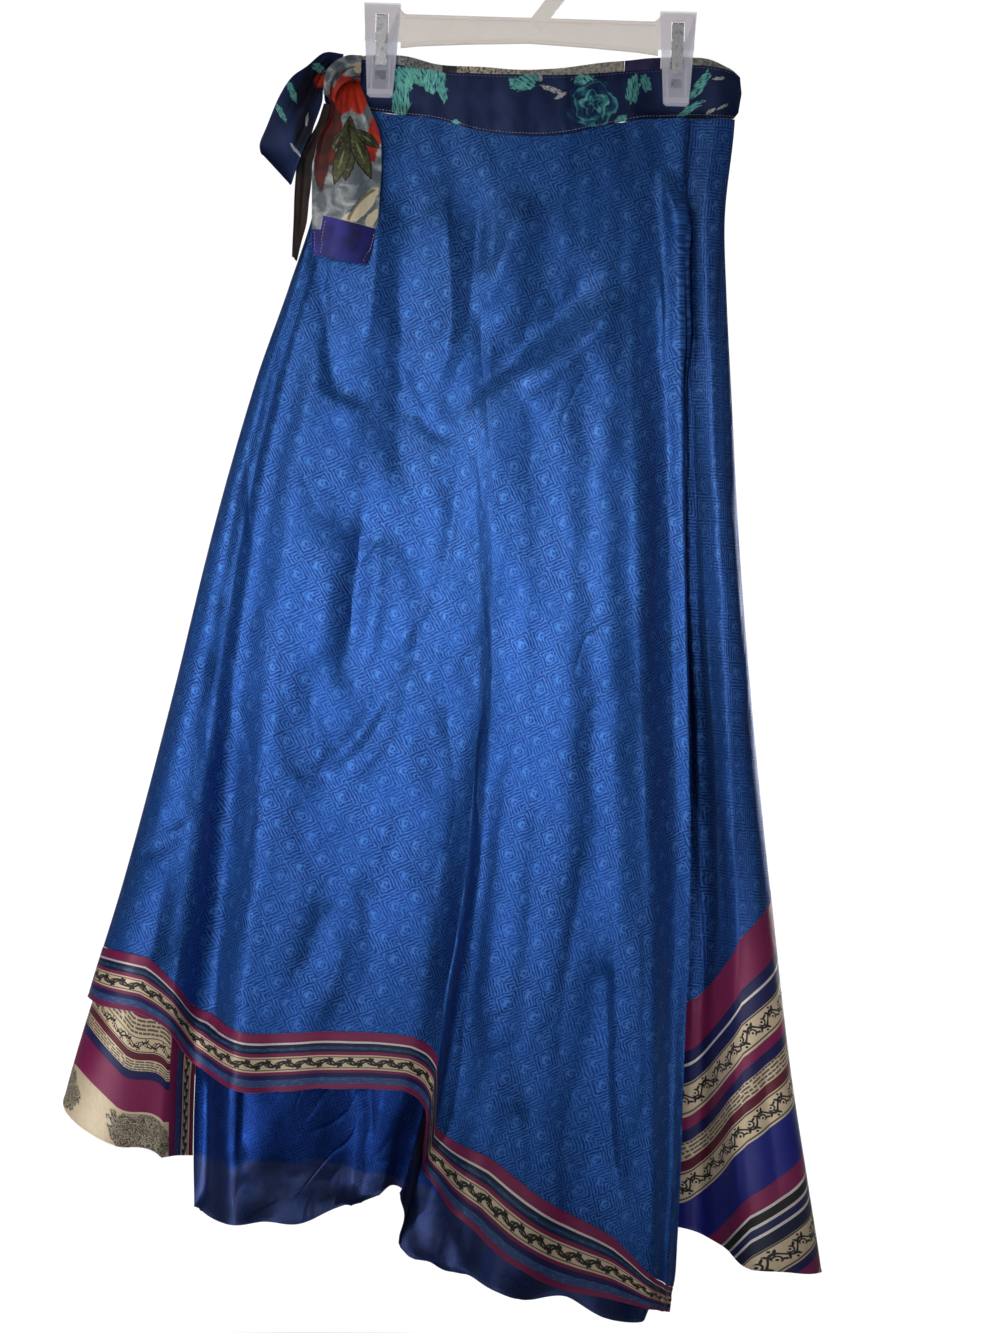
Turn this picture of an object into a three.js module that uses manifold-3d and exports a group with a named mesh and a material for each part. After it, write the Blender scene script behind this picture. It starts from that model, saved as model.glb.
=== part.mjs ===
// Wrap skirt of printed silk on a clear clip hanger.
// Millimetres, +Z up. The origin is the top of the hook's inner curve, where a rail carries it.
// The front of the skirt faces -Y and the waistband runs along X.
import * as THREE from "three";
import { mergeVertices } from "three/addons/utils/BufferGeometryUtils.js";
import Module from "manifold-3d";

const wasm = await Module();
wasm.setup();

// ---------------------------------------------------------------- driving dimensions
const CLOTH = 1.2; // wall of a skirt panel
const BAND_WALL = 1.6; // waistband, silk folded double
const SEAM_GAP = 0.5; // between two pieces that are sewn together, measured down the cloth
const WAIST_Z = -140; // heights of the three stations that the fold tables hold
const KNEE_Z = -570;
const HEM_Z = -1000;
const UNDER_GAP = [2.7, 4.4, 6]; // how far the under layer hangs inside, at the three stations

const BAR = { top: -62, web: 2.4, flange: 2.2, depth: 8 };
const TAB = { wall: 1.9, half: 12.6, top: -55, bottom: -82 }; // flat end of the bar, between the jaws
const HOOK = { radius: 29, width: 11.5, thick: 5, sunk: 4, stemAngle: -36, tipAngle: 192 };
const HOOK_TIP = { narrowing: [1, 0.9, 0.7], reach: 3.45 }; // half widths at the last points, as shares
const CLIP_X = 111;
const JAW = { top: -54, bottom: -125, halfTop: 13.8, halfFoot: 9.6, inner: 2.2, thick: 2.6 };
const JAW_RIB = { stand: 1.3, lip: 6, inset: 0.6, rails: [6, 7.4] }; // raised on a jaw's outer face
const JAW_WINDOW = { half: 4, top: -104.5, bottom: -111.5 };
const SLOT = { half: 5, top: -61, bottom: -97 };
const TAB_SLOT_BOTTOM = -76;
const SPRING = { half: 4.3, thick: 0.8, bridge: -62.6, foot: -101, clear: 0.3, bend: 0.6 };
const PINCH = { y: 1.9, half: 16, ease: 20, foot: -128 }; // the waistband between the jaws

// ---------------------------------------------------------------- small helpers
const lerp = (a, b, t) => a + (b - a) * t;
const clamp = (v, lo, hi) => Math.min(hi, Math.max(lo, v));
const smooth = (t) => t * t * (3 - 2 * t);
const fall = (z) => (WAIST_Z - z) / (WAIST_Z - HEM_Z);
// The parabola through three values at the waist, the knee and the hem.
const through = ([a, b, c], t) =>
  a * (2 * t * t - 3 * t + 1) + b * (4 * t - 4 * t * t) + c * (2 * t * t - t);

// Between q and r, a share t of the way, on the smooth curve through p, q, r and s.
function catmullRom(p, q, r, s, t) {
  const square = 2 * p - 5 * q + 4 * r - s;
  const cube = 3 * q - p - 3 * r + s;
  return q + ((r - p) * t + square * t * t + cube * t ** 3) / 2;
}

// One column of a table as a smooth curve of its key column, which may rise or fall.
function curveOf(rows, key, column) {
  const n = rows.length;
  const slope = rows.map((_, i) => {
    const [a, b] = [rows[Math.max(i - 1, 0)], rows[Math.min(i + 1, n - 1)]];
    return (b[column] - a[column]) / (b[key] - a[key]);
  });
  const up = rows[n - 1][key] > rows[0][key];
  return (at) => {
    let i = 0;
    while (i < n - 2 && (up ? at > rows[i + 1][key] : at < rows[i + 1][key])) i++;
    const step = rows[i + 1][key] - rows[i][key];
    const t = clamp((at - rows[i][key]) / step, 0, 1);
    const [h, k] = [t * t * (3 - 2 * t), t * (1 - t) * step];
    return lerp(rows[i][column], rows[i + 1][column], h) + k * ((1 - t) * slope[i] - t * slope[i + 1]);
  };
}

// ---------------------------------------------------------------- the skirt's form
// The two side folds, seen from the front.
const OUTLINE = [
  { z: -90, left: -149, right: 156 },
  { z: -140, left: -150, right: 155.5 },
  { z: -205, left: -157, right: 150.5 },
  { z: -265, left: -174, right: 153.5 },
  { z: -340, left: -198, right: 159.5 },
  { z: -450, left: -226, right: 168.5 },
  { z: -580, left: -254, right: 182.5 },
  { z: -720, left: -287, right: 201 },
  { z: -840, left: -321, right: 218 },
  { z: -925, left: -343, right: 233.5 },
  { z: -1000, left: -360, right: 248 },
];
const outline = { left: curveOf(OUTLINE, "z", "left"), right: curveOf(OUTLINE, "z", "right") };

// Waist seam and upper edge of the waistband, as heights along x.
const WAIST = [
  { x: -155, seamFront: -134.5, seamBack: -134.5, topFront: -98, topBack: -98 },
  { x: -124, seamFront: -135, seamBack: -135, topFront: -97, topBack: -93.5 },
  { x: -96, seamFront: -138, seamBack: -136.5, topFront: -100, topBack: -92.5 },
  { x: -66, seamFront: -141.6, seamBack: -138, topFront: -105, topBack: -97.6 },
  { x: -36, seamFront: -149.3, seamBack: -139.5, topFront: -105.9, topBack: -98 },
  { x: -5, seamFront: -152, seamBack: -140, topFront: -105.9, topBack: -99.2 },
  { x: 25, seamFront: -150.2, seamBack: -139.5, topFront: -105.2, topBack: -97 },
  { x: 54, seamFront: -143, seamBack: -138, topFront: -102.4, topBack: -92.4 },
  { x: 84, seamFront: -136, seamBack: -136, topFront: -98.8, topBack: -89.4 },
  { x: 98, seamFront: -135, seamBack: -135, topFront: -97.2, topBack: -88.4 },
  { x: 123, seamFront: -133.4, seamBack: -134, topFront: -93.6, topBack: -87.4 },
  { x: 138, seamFront: -133.2, seamBack: -133.4, topFront: -94.6, topBack: -89 },
  { x: 150, seamFront: -133.2, seamBack: -133.2, topFront: -98, topBack: -95.5 },
  { x: 156, seamFront: -133.2, seamBack: -133.2, topFront: -102, topBack: -102 },
];
const waist = {
  seamFront: curveOf(WAIST, "x", "seamFront"),
  seamBack: curveOf(WAIST, "x", "seamBack"),
  topFront: curveOf(WAIST, "x", "topFront"),
  topBack: curveOf(WAIST, "x", "topBack"),
};

// Fold lines of the outer layer, in ring order. x and y are at the waist, the knee and the hem.
// join is where the silk meets its hem trim and edge is the trim's lower edge, as heights.
const RIGHT_AND_BACK = [
  { name: "pleat_inside", x: [112, 118, 118], y: [0.6, 3, 14], join: -800, edge: -966 },
  { name: "right_valley", x: [127, 141, 150], y: [-0.2, -2, 4], join: -790, edge: -968 },
  { name: "right_crest", x: [141, 162, 192], y: [-5, -24, -38], join: -746, edge: -988 },
  { name: "right_side", side: "right", y: [1, 6, 10], join: -710, edge: -995 },
  { name: "back_crest_1", x: [138, 152, 196], y: [6, 28, 46], join: -676, edge: -985 },
  { name: "back_valley_1", x: [102, 106, 130], y: [4, 22, 22], join: -640, edge: -960 },
  { name: "back_crest_2", x: [62, 64, 72], y: [9, 36, 52], join: -905, edge: -950 },
  { name: "back_valley_2", x: [16, 12, 4], y: [10, 31, 26], join: -892, edge: -937 },
  { name: "back_crest_3", x: [-28, -38, -58], y: [10, 38, 54], join: -882, edge: -926 },
  { name: "back_valley_3", x: [-70, -92, -122], y: [8, 29, 24], join: -860, edge: -904 },
  { name: "back_crest_4", x: [-104, -140, -182], y: [4.6, 34, 50], join: -836, edge: -880 },
  { name: "back_valley_4", x: [-128, -186, -232], y: [4.2, 20, 20], join: -806, edge: -849 },
  { name: "back_crest_5", x: [-143, -222, -284], y: [5, 24, 36], join: -782, edge: -824 },
];
const FRONT = [
  RIGHT_AND_BACK.at(-1),
  { name: "left_side", side: "left", y: [1, 6, 10], join: -768, edge: -806 },
  { name: "left_crest", x: [-145, -231, -292], y: [-5, -24, -38], join: -772, edge: -813 },
  { name: "left_shoulder", x: [-141, -219, -250], y: [-4.8, -22, -34], join: -790, edge: -825 },
  { name: "left_valley", x: [-137, -206, -222], y: [-4.6, -15, -14], join: -811, edge: -852 },
  { name: "mid_crest_left", x: [-122, -173, -190], y: [-5, -32, -46], join: -825, edge: -868 },
  { name: "mid_dip", x: [-98, -112, -138], y: [-4.8, -32, -41], join: -822, edge: -865 },
  { name: "mid_crest_right", x: [-66, -48, -100], y: [-9, -37, -48], join: -824, edge: -864 },
  { name: "step_edge", x: [-44, -24, -82], y: [-11.5, -36, -40], join: -840, edge: -880 },
  { name: "step_valley", x: [-28, -14, -71], y: [-12, -31, -12], join: -893, edge: -929 },
  { name: "step_rise", x: [-4, 16, -20], y: [-13, -40, -44], join: -912, edge: -967 },
  { name: "right_crest_a", x: [24, 44, 18], y: [-12, -44, -52], join: -935, edge: -993 },
  { name: "small_dip", x: [42, 60, 56], y: [-10, -42, -45], join: -953, edge: -1008 },
  { name: "right_crest_b", x: [60, 76, 88], y: [-8, -46, -54], join: -967, edge: -1012 },
  { name: "corner_crest", x: [78, 96, 114], y: [-6, -42, -46], join: -992, edge: -1018 },
  { name: "pleat_valley", x: [104, 122, 128], y: [-4.4, -18, -30], join: -1003, edge: -1023 },
  { name: "pleat_ridge", x: [118, 132, 136], y: [-5.8, -22, -14], join: -1008, edge: -1026 },
  { name: "pleat_edge", x: [121, 134, 132], y: [-3.6, -10, 2], join: -1008, edge: -1026 },
];

// The under layer's lower edge, fold by fold: the blue silk below the border, and the
// striped end piece that shows left of it. Its last fold lies behind the deep pleat.
const UNDER_HEM = {
  back_crest_4: -850,
  back_valley_4: -862,
  back_crest_5: -870,
  left_side: -881,
  left_crest: -911,
  left_shoulder: -918,
  left_valley: -959,
  mid_crest_left: -968,
  mid_dip: -960,
  mid_crest_right: -942,
  step_edge: -938,
  step_valley: -984,
  step_rise: -1001,
  right_crest_a: -1014,
  small_dip: -1015,
  right_crest_b: -1028,
  corner_crest: -1031,
};
const UNDER_END = { name: "under_edge", x: [92, 108, 121], y: [-1.8, -20, -29], hem: -1018 };
// Two of its folds stand further left, clear of the steep step in the layer over them.
const UNDER_STEP = { folds: ["step_edge", "step_valley"], shift: [0, -1.5, -4] };
const END_PIECE = { top: -790, hemAtSeam: -921 };

// Heights that every panel's rows share down to the knee; below it the rows close up to the hem.
const SHARED_HEIGHTS = [-165, -190, -235, -285, -335, -400, -480, KNEE_Z];
const UNDER_HEIGHTS = [-165, -190, -235, -335, -480, KNEE_Z];

// The point of a fold line at height z, in plan. Between the stations a fold keeps its share
// of the skirt's breadth, so that it follows the outline.
function foldPoint(row, z) {
  const t = fall(z);
  const y = through(row.y, t);
  if (row.side) return { x: outline[row.side](z) + (row.drawnIn ? through(row.drawnIn, t) : 0), y };
  const share = [WAIST_Z, KNEE_Z, HEM_Z].map((station, k) => {
    const [left, right] = [outline.left(station), outline.right(station)];
    return (row.x[k] - left) / (right - left);
  });
  return { x: lerp(outline.left(z), outline.right(z), through(share, t)), y };
}

// The section between two neighbouring fold lines: a quarter ellipse where the cloth turns
// round a side fold, and half a cosine wave from crest to valley everywhere else.
function sectionPoint(rows, s, z) {
  const i = clamp(Math.floor(s), 0, rows.length - 2);
  const w = s - i;
  const [a, b] = [foldPoint(rows[i], z), foldPoint(rows[i + 1], z)];
  const rise = Math.sin((w * Math.PI) / 2);
  const turn = 1 - Math.cos((w * Math.PI) / 2);
  if (rows[i].side) return { x: lerp(a.x, b.x, turn), y: lerp(a.y, b.y, rise) };
  if (rows[i + 1].side) return { x: lerp(a.x, b.x, rise), y: lerp(a.y, b.y, turn) };
  return { x: lerp(a.x, b.x, w), y: lerp(a.y, b.y, (1 - Math.cos(w * Math.PI)) / 2) };
}

// The outward normal in plan, from the section's own tangent.
function sectionNormal(rows, s, z) {
  const step = 1e-3;
  const [a, b] = [sectionPoint(rows, s - step, z), sectionPoint(rows, s + step, z)];
  const length = Math.hypot(b.x - a.x, b.y - a.y) || 1;
  return { x: (b.y - a.y) / length, y: -(b.x - a.x) / length };
}

// A value that each fold row holds, between folds.
function alongFolds(rows, s, column) {
  const i = clamp(Math.floor(s), 0, rows.length - 2);
  return lerp(rows[i][column], rows[i + 1][column], s - i);
}

const BACK_STARTS = 10; // at the knee, every fold of the back stands further behind than this

// The folds of the outer layer hung further in: forward of the back, behind the front and
// drawn in from the left side fold.
const inset = (rows) =>
  rows.map((row) => {
    if (row.side) return { ...row, drawnIn: UNDER_GAP };
    const towards = row.y[1] > BACK_STARTS ? -1 : 1;
    return { ...row, y: row.y.map((v, k) => v + towards * UNDER_GAP[k]) };
  });

// ---------------------------------------------------------------- walls
// Turns a grid of outer and inner points, grid[column][row] = [outer, inner], into one closed wall.
function wallGeometry(grid) {
  const columns = grid.length;
  const rows = grid[0].length;
  const position = [];
  const index = [];
  const at = (layer, c, r) => (layer * columns + c) * rows + r;
  for (const layer of [0, 1]) {
    for (const pair of grid.flat()) position.push(pair[layer].x, pair[layer].y, pair[layer].z);
  }
  const quad = (a, b, c, d) => index.push(a, b, c, a, c, d);
  for (let c = 0; c < columns - 1; c++) {
    for (let r = 0; r < rows - 1; r++) {
      quad(at(0, c, r), at(0, c, r + 1), at(0, c + 1, r + 1), at(0, c + 1, r));
      quad(at(1, c, r), at(1, c + 1, r), at(1, c + 1, r + 1), at(1, c, r + 1));
    }
    quad(at(0, c, 0), at(0, c + 1, 0), at(1, c + 1, 0), at(1, c, 0));
    quad(at(0, c, rows - 1), at(1, c, rows - 1), at(1, c + 1, rows - 1), at(0, c + 1, rows - 1));
  }
  for (let r = 0; r < rows - 1; r++) {
    quad(at(0, 0, r), at(1, 0, r), at(1, 0, r + 1), at(0, 0, r + 1));
    const e = columns - 1;
    quad(at(0, e, r), at(0, e, r + 1), at(1, e, r + 1), at(1, e, r));
  }
  const geometry = new THREE.BufferGeometry();
  geometry.setAttribute("position", new THREE.Float32BufferAttribute(position, 3));
  geometry.setIndex(index);
  geometry.computeVertexNormals();
  return geometry;
}

const SEAM_SHARE = 0.02; // share of a fold kept back at each end of a panel

// A panel between two fold lines. top and bottom give its edges along the folds, heights are
// the rows that it shares with its neighbours, and below is how many rows follow them.
function panel({ folds, from, to, top, bottom, heights = [], below, perFold = 3 }) {
  const first = folds.findIndex((row) => row.name === from);
  const last = folds.findIndex((row) => row.name === to);
  const count = (last - first) * perFold;
  const grid = [];
  for (let c = 0; c <= count; c++) {
    const s = clamp(first + c / perFold, first + SEAM_SHARE, last - SEAM_SHARE);
    const [zTop, zBottom] = [top(s), bottom(s)];
    const start = heights.length ? heights.at(-1) : zTop;
    const rows = [...(heights.length ? [zTop, ...heights] : [zTop])];
    for (let r = 1; r <= below; r++) rows.push(lerp(start, zBottom, r / below));
    grid.push(
      rows.map((z) => {
        const p = sectionPoint(folds, s, z);
        const n = sectionNormal(folds, s, z);
        return [0, CLOTH].map((d) => ({ x: p.x - n.x * d, y: p.y - n.y * d, z }));
      }),
    );
  }
  return wallGeometry(grid);
}

// ---------------------------------------------------------------- waistband
const ringBand = [...FRONT.slice(1, -3), ...RIGHT_AND_BACK.slice(2), FRONT[1]];
// 1 where a clip's jaws press the front and back bands together, 0 away from them.
function pinch(x) {
  const beyond = Math.abs(Math.abs(x) - CLIP_X) - PINCH.half;
  return smooth(clamp(1 - beyond / PINCH.ease, 0, 1));
}

const SWELL = { by: 5, from: 138, over: 16, shares: [0.7, 1, 0.6] }; // shares at the three upper rows
const BAND_MIDDLE = 0.45; // share of the way down from the edge to the jaws' foot
const BAND_GAP = SEAM_GAP + 0.15; // the band's foot stands this far over the waist seam
const FACES = {
  front: { seam: waist.seamFront, edge: waist.topFront, pressedY: -PINCH.y },
  back: { seam: waist.seamBack, edge: waist.topBack, pressedY: PINCH.y },
};

// A stretch of the waistband, from ring position s0 to s1, on one face of the skirt. Its two
// side folds swell a little over the waist seam.
function bandPiece(s0, s1, { seam, edge, pressedY }, columns) {
  const grid = [];
  for (let c = 0; c <= columns; c++) {
    const s = lerp(s0, s1, c / columns);
    const p = sectionPoint(ringBand, s, WAIST_Z);
    const n = sectionNormal(ringBand, s, WAIST_Z);
    const pressed = lerp(p.y, pressedY, pinch(p.x));
    const out = smooth(clamp((Math.abs(p.x) - SWELL.from) / SWELL.over, 0, 1));
    const swell = SWELL.by * out * Math.sign(p.x);
    const heights = [edge(p.x), lerp(edge(p.x), PINCH.foot, BAND_MIDDLE), PINCH.foot];
    const levels = heights.map((z, k) => ({ x: p.x + swell * SWELL.shares[k], y: pressed, z }));
    levels.push({ x: p.x, y: p.y, z: seam(p.x) + BAND_GAP });
    grid.push(levels.map((q) => [q, { x: q.x - n.x * BAND_WALL, y: q.y - n.y * BAND_WALL, z: q.z }]));
  }
  return wallGeometry(grid);
}

// Ring position on the back where the band stands at x.
const RIGHT_FOLD = ringBand.findIndex((row) => row.name === "right_side");
function backAt(x) {
  let [lo, hi] = [RIGHT_FOLD, ringBand.length - 1];
  const halvings = 40;
  for (let k = 0; k < halvings; k++) {
    const mid = (lo + hi) / 2;
    if (sectionPoint(ringBand, mid, WAIST_Z).x > x) lo = mid;
    else hi = mid;
  }
  return (lo + hi) / 2;
}
const NAVY_PATCH = { from: 99, to: 72 }; // x of the navy length let into the back band

// ---------------------------------------------------------------- ties
// A curve through points [x, y, z], read by station number. It runs straight on at its ends.
class ThroughPoints {
  constructor(points) {
    this.points = points.map((point) => new THREE.Vector3(...point));
  }
  at(station) {
    const last = this.points.length - 1;
    const u = clamp(station, 0, last);
    const k = clamp(Math.floor(u), 0, last - 1);
    const [p, q, r, s] = [k - 1, k, k + 1, k + 2].map((i) => this.points[clamp(i, 0, last)]);
    const rate = (axis) => catmullRom(p[axis], q[axis], r[axis], s[axis], u - k);
    return new THREE.Vector3(rate("x"), rate("y"), rate("z"));
  }
}

// A ribbon from stations of its two edges: a and b are [x, y, z], bow is how far its middle
// stands out from the line between them.
function ribbon(stations, along = 3, across = 4, wall = CLOTH) {
  const edges = ["a", "b"].map((side) => new ThroughPoints(stations.map((station) => station[side])));
  const bows = new ThroughPoints(stations.map(({ bow = 0 }) => [bow, 0, 0]));
  const point = (u, w) => {
    const place = edges[0].at(u).lerp(edges[1].at(u), w);
    place.y -= bows.at(u).x * 4 * w * (1 - w);
    return place;
  };
  const step = 0.02;
  const grid = [];
  for (let c = 0; c <= across; c++) {
    const w = c / across;
    const column = [];
    for (let r = 0; r <= (stations.length - 1) * along; r++) {
      const u = r / along;
      const down = point(u + step, w).sub(point(u - step, w));
      const over = point(u, w + step).sub(point(u, w - step));
      const normal = down.cross(over).normalize();
      column.push([wall / 2, -wall / 2].map((d) => point(u, w).addScaledVector(normal, d)));
    }
    grid.push(column);
  }
  return wallGeometry(grid);
}

const COLLAR = [
  { a: [-144, -14.5, -131], b: [-152.2, -12.5, -125] },
  { a: [-143, -16.5, -124], b: [-151.6, -13, -111], bow: 1.5 },
  { a: [-139, -17, -118], b: [-146.5, -13, -102.5], bow: 2 },
  { a: [-132.4, -15.5, -114.5], b: [-136.5, -10, -95.8], bow: 1.5 },
  { a: [-125.8, -12, -115.5], b: [-125.6, -3.3, -94.2], bow: 0.5 },
];
const TAIL_FRONT = [
  { a: [-139.5, -5, -112], b: [-128.5, -3.2, -111] },
  { a: [-145, -13, -131], b: [-120.5, -12, -129.7], bow: 1 },
  { a: [-144.5, -17, -157], b: [-110.5, -14.5, -153], bow: 3 },
  { a: [-147, -18.5, -176.5], b: [-108.3, -15, -172], bow: 4 },
  { a: [-150, -19, -195], b: [-108.3, -15.5, -190.5], bow: 4 },
  { a: [-149.5, -19.5, -216.2], b: [-109.5, -16.5, -225.1], bow: 4 },
];
const TAIL_FRONT_END = [
  { a: [-149.6, -19.5, -216.6], b: [-109.6, -16.5, -225.6], bow: 4 },
  { a: [-152, -20, -232.7], b: [-112.2, -18, -239.2], bow: 3.5 },
  { a: [-153.9, -20, -246.3], b: [-117.7, -19, -251.9], bow: 3 },
];
const TAIL_BACK = [
  { a: [-146, -5.8, -120], b: [-137, -4.7, -118] },
  { a: [-147.6, -10.5, -141], b: [-128, -10.5, -140] },
  { a: [-155, -12, -156.3], b: [-125, -11.5, -156] },
  { a: [-158.9, -13, -177.4], b: [-124, -12, -176], bow: 1 },
  { a: [-159.2, -13.6, -193.2], b: [-124, -12.6, -195], bow: 1 },
  { a: [-158.2, -14.4, -226.1], b: [-126, -14, -228], bow: 1 },
];
const TAIL_BACK_END = [
  { a: [-158.2, -14.4, -226.6], b: [-126, -14, -228.5], bow: 1 },
  { a: [-158, -14.8, -236], b: [-128, -14.6, -238], bow: 1 },
  { a: [-157.6, -15.2, -245], b: [-131, -15, -247], bow: 1 },
];
const DARK_STRIP = [
  { a: [-151.6, -8.4, -131.5], b: [-147.4, -8.4, -132.5] },
  { a: [-156.1, -9, -146.5], b: [-150.8, -9, -148.6] },
  { a: [-162.5, -9, -158.7], b: [-154.9, -9, -160] },
  { a: [-170, -9, -173.2], b: [-159.8, -9, -174.4] },
  { a: [-171.6, -9, -188.3], b: [-160.4, -9, -189.4] },
  { a: [-172, -9.5, -203.3], b: [-161.9, -9.5, -204.5] },
  { a: [-171.9, -10, -218.3], b: [-163.2, -10, -221] },
  { a: [-171.9, -11, -233.3], b: [-166.9, -11, -236.1] },
  { a: [-171.8, -12, -247], b: [-169.9, -12, -250] },
];
const WIDE_LOOP = [
  { a: [-139, -5.2, -94], b: [-141, -5.2, -104] },
  { a: [-153.1, -7, -93.4], b: [-149.5, -8.4, -109] },
  { a: [-165.6, -9.5, -104], b: [-153.4, -9.4, -121] },
  { a: [-177, -12, -113.4], b: [-154, -12.4, -132], bow: 1 },
  { a: [-185.9, -12.5, -128.7], b: [-159.6, -14.5, -150], bow: 2 },
  { a: [-194, -11.5, -150], b: [-167, -14.5, -168], bow: 3 },
  { a: [-199, -10, -163], b: [-171.4, -13.5, -181], bow: 2 },
  { a: [-197.5, -7.5, -170], b: [-175, -10.5, -192.5] },
  { a: [-195.5, -4, -166], b: [-175, -5.5, -187] },
  { a: [-184, -2.5, -152], b: [-166, -3.6, -169] },
  { a: [-167, -2.6, -132], b: [-158, -3.4, -140] },
];

// ---------------------------------------------------------------- hanger
function solid(geometry) {
  const bare = geometry.clone();
  for (const name of ["normal", "uv"]) bare.deleteAttribute(name);
  const merged = mergeVertices(bare, 1e-4);
  const vertProperties = merged.attributes.position.array;
  const triVerts = new Uint32Array(merged.index.array);
  return new wasm.Manifold(new wasm.Mesh({ numProp: 3, vertProperties, triVerts }));
}
function geometryOf(manifold) {
  const mesh = manifold.getMesh();
  const geometry = new THREE.BufferGeometry();
  geometry.setAttribute("position", new THREE.Float32BufferAttribute(mesh.vertProperties, 3));
  geometry.setIndex([...mesh.triVerts]);
  geometry.computeVertexNormals();
  return geometry;
}
// A box from its low and high corners.
function block([x0, y0, z0], [x1, y1, z1]) {
  const box = new THREE.BoxGeometry(x1 - x0, y1 - y0, z1 - z0);
  return box.translate((x0 + x1) / 2, (y0 + y1) / 2, (z0 + z1) / 2);
}
// A flat shape drawn in X and Z, between two depths.
function plate(shape, y0, y1) {
  const flat = new THREE.ExtrudeGeometry(shape, { depth: y1 - y0, bevelEnabled: false });
  return flat.rotateX(Math.PI / 2).translate(0, y1, 0);
}
const shapeOf = (points) => new THREE.Shape(points.map(([x, z]) => new THREE.Vector2(x, z)));
const mirrored = (points) => [...points, ...points.map(([x, z]) => [-x, z]).reverse()];

// The bar: a thin web inside a deeper rim, its underside arched and its ends deeper.
const BAR_HALF = 96.6;
const BAR_UNDERSIDE = [[BAR_HALF, -86.6], [82, -84.8], [45, -82.4], [0, -80.4]];
const BAR_OUTLINE = mirrored([[0, BAR.top], [BAR_HALF, BAR.top], ...BAR_UNDERSIDE]);
const BAR_WINDOW = mirrored([
  [0, BAR.top - BAR.flange],
  [BAR_HALF - BAR.flange, BAR.top - BAR.flange],
  ...BAR_UNDERSIDE.map(([x, z]) => [Math.min(x, BAR_HALF - BAR.flange), z + BAR.flange]),
]);
// One end of the bar, where a clip hangs, on the right side.
const BAR_SHOULDER = [
  [94, -84],
  [94, -66],
  [91, -62.5],
  [94.5, -61],
  [97.5, -57.5],
  [100, TAB.top],
  [CLIP_X + TAB.half, TAB.top],
  [CLIP_X + TAB.half, TAB.bottom],
  [98, TAB.bottom],
];

// The hook's centre line: slanting up from the bar, then round to the tip.
function hookLine() {
  const centreZ = -(HOOK.radius - HOOK.width / 2);
  const at = (degrees) => {
    const a = THREE.MathUtils.degToRad(degrees);
    return new THREE.Vector2(HOOK.radius * Math.cos(a), centreZ + HOOK.radius * Math.sin(a));
  };
  const lean = THREE.MathUtils.degToRad(HOOK.stemAngle);
  const start = at(HOOK.stemAngle);
  const down = (start.y - BAR.top + BAR.flange + HOOK.sunk) / Math.cos(lean);
  const foot = new THREE.Vector2(start.x + Math.sin(lean) * down, start.y - Math.cos(lean) * down);
  const steps = 26;
  const round = [];
  for (let k = 0; k <= steps; k++) round.push(at(lerp(HOOK.stemAngle, HOOK.tipAngle, k / steps)));
  return [foot, ...round];
}
// The hook's outline, which narrows over its last two points to a rounded tip.
function hookShape() {
  const centre = hookLine();
  const [beforeLast, last] = centre.slice(-2);
  const sides = centre.map((p, k) => {
    const [a, b] = [centre[Math.max(k - 1, 0)], centre[Math.min(k + 1, centre.length - 1)]];
    const across = new THREE.Vector2(b.y - a.y, a.x - b.x).normalize();
    const reach = (HOOK.width / 2) * HOOK_TIP.narrowing[clamp(k - centre.length + 3, 0, 2)];
    return [p.clone().addScaledVector(across, reach), p.clone().addScaledVector(across, -reach)];
  });
  const tip = last.clone().add(last.clone().sub(beforeLast).setLength(HOOK_TIP.reach));
  const [outer, inner] = [0, 1].map((side) => sides.map((pair) => pair[side]));
  return new THREE.Shape([...outer, tip, ...inner.reverse()]);
}
function hangerFrame() {
  const rim = shapeOf(BAR_OUTLINE);
  rim.holes.push(new THREE.Path(BAR_WINDOW.map(([x, z]) => new THREE.Vector2(x, z)).reverse()));
  let frame = solid(plate(shapeOf(BAR_OUTLINE), -BAR.web / 2, BAR.web / 2))
    .add(solid(plate(rim, -BAR.depth / 2, BAR.depth / 2)))
    .add(solid(plate(hookShape(), -HOOK.thick / 2, HOOK.thick / 2)));
  for (const side of [-1, 1]) {
    const shoulder = shapeOf(BAR_SHOULDER.map(([x, z]) => [side * x, z]));
    const x = side * CLIP_X;
    const slot = block([x - SLOT.half, -BAR.depth, TAB_SLOT_BOTTOM], [x + SLOT.half, BAR.depth, SLOT.top]);
    frame = frame.add(solid(plate(shoulder, -TAB.wall, TAB.wall))).subtract(solid(slot));
  }
  return geometryOf(frame);
}

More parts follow.
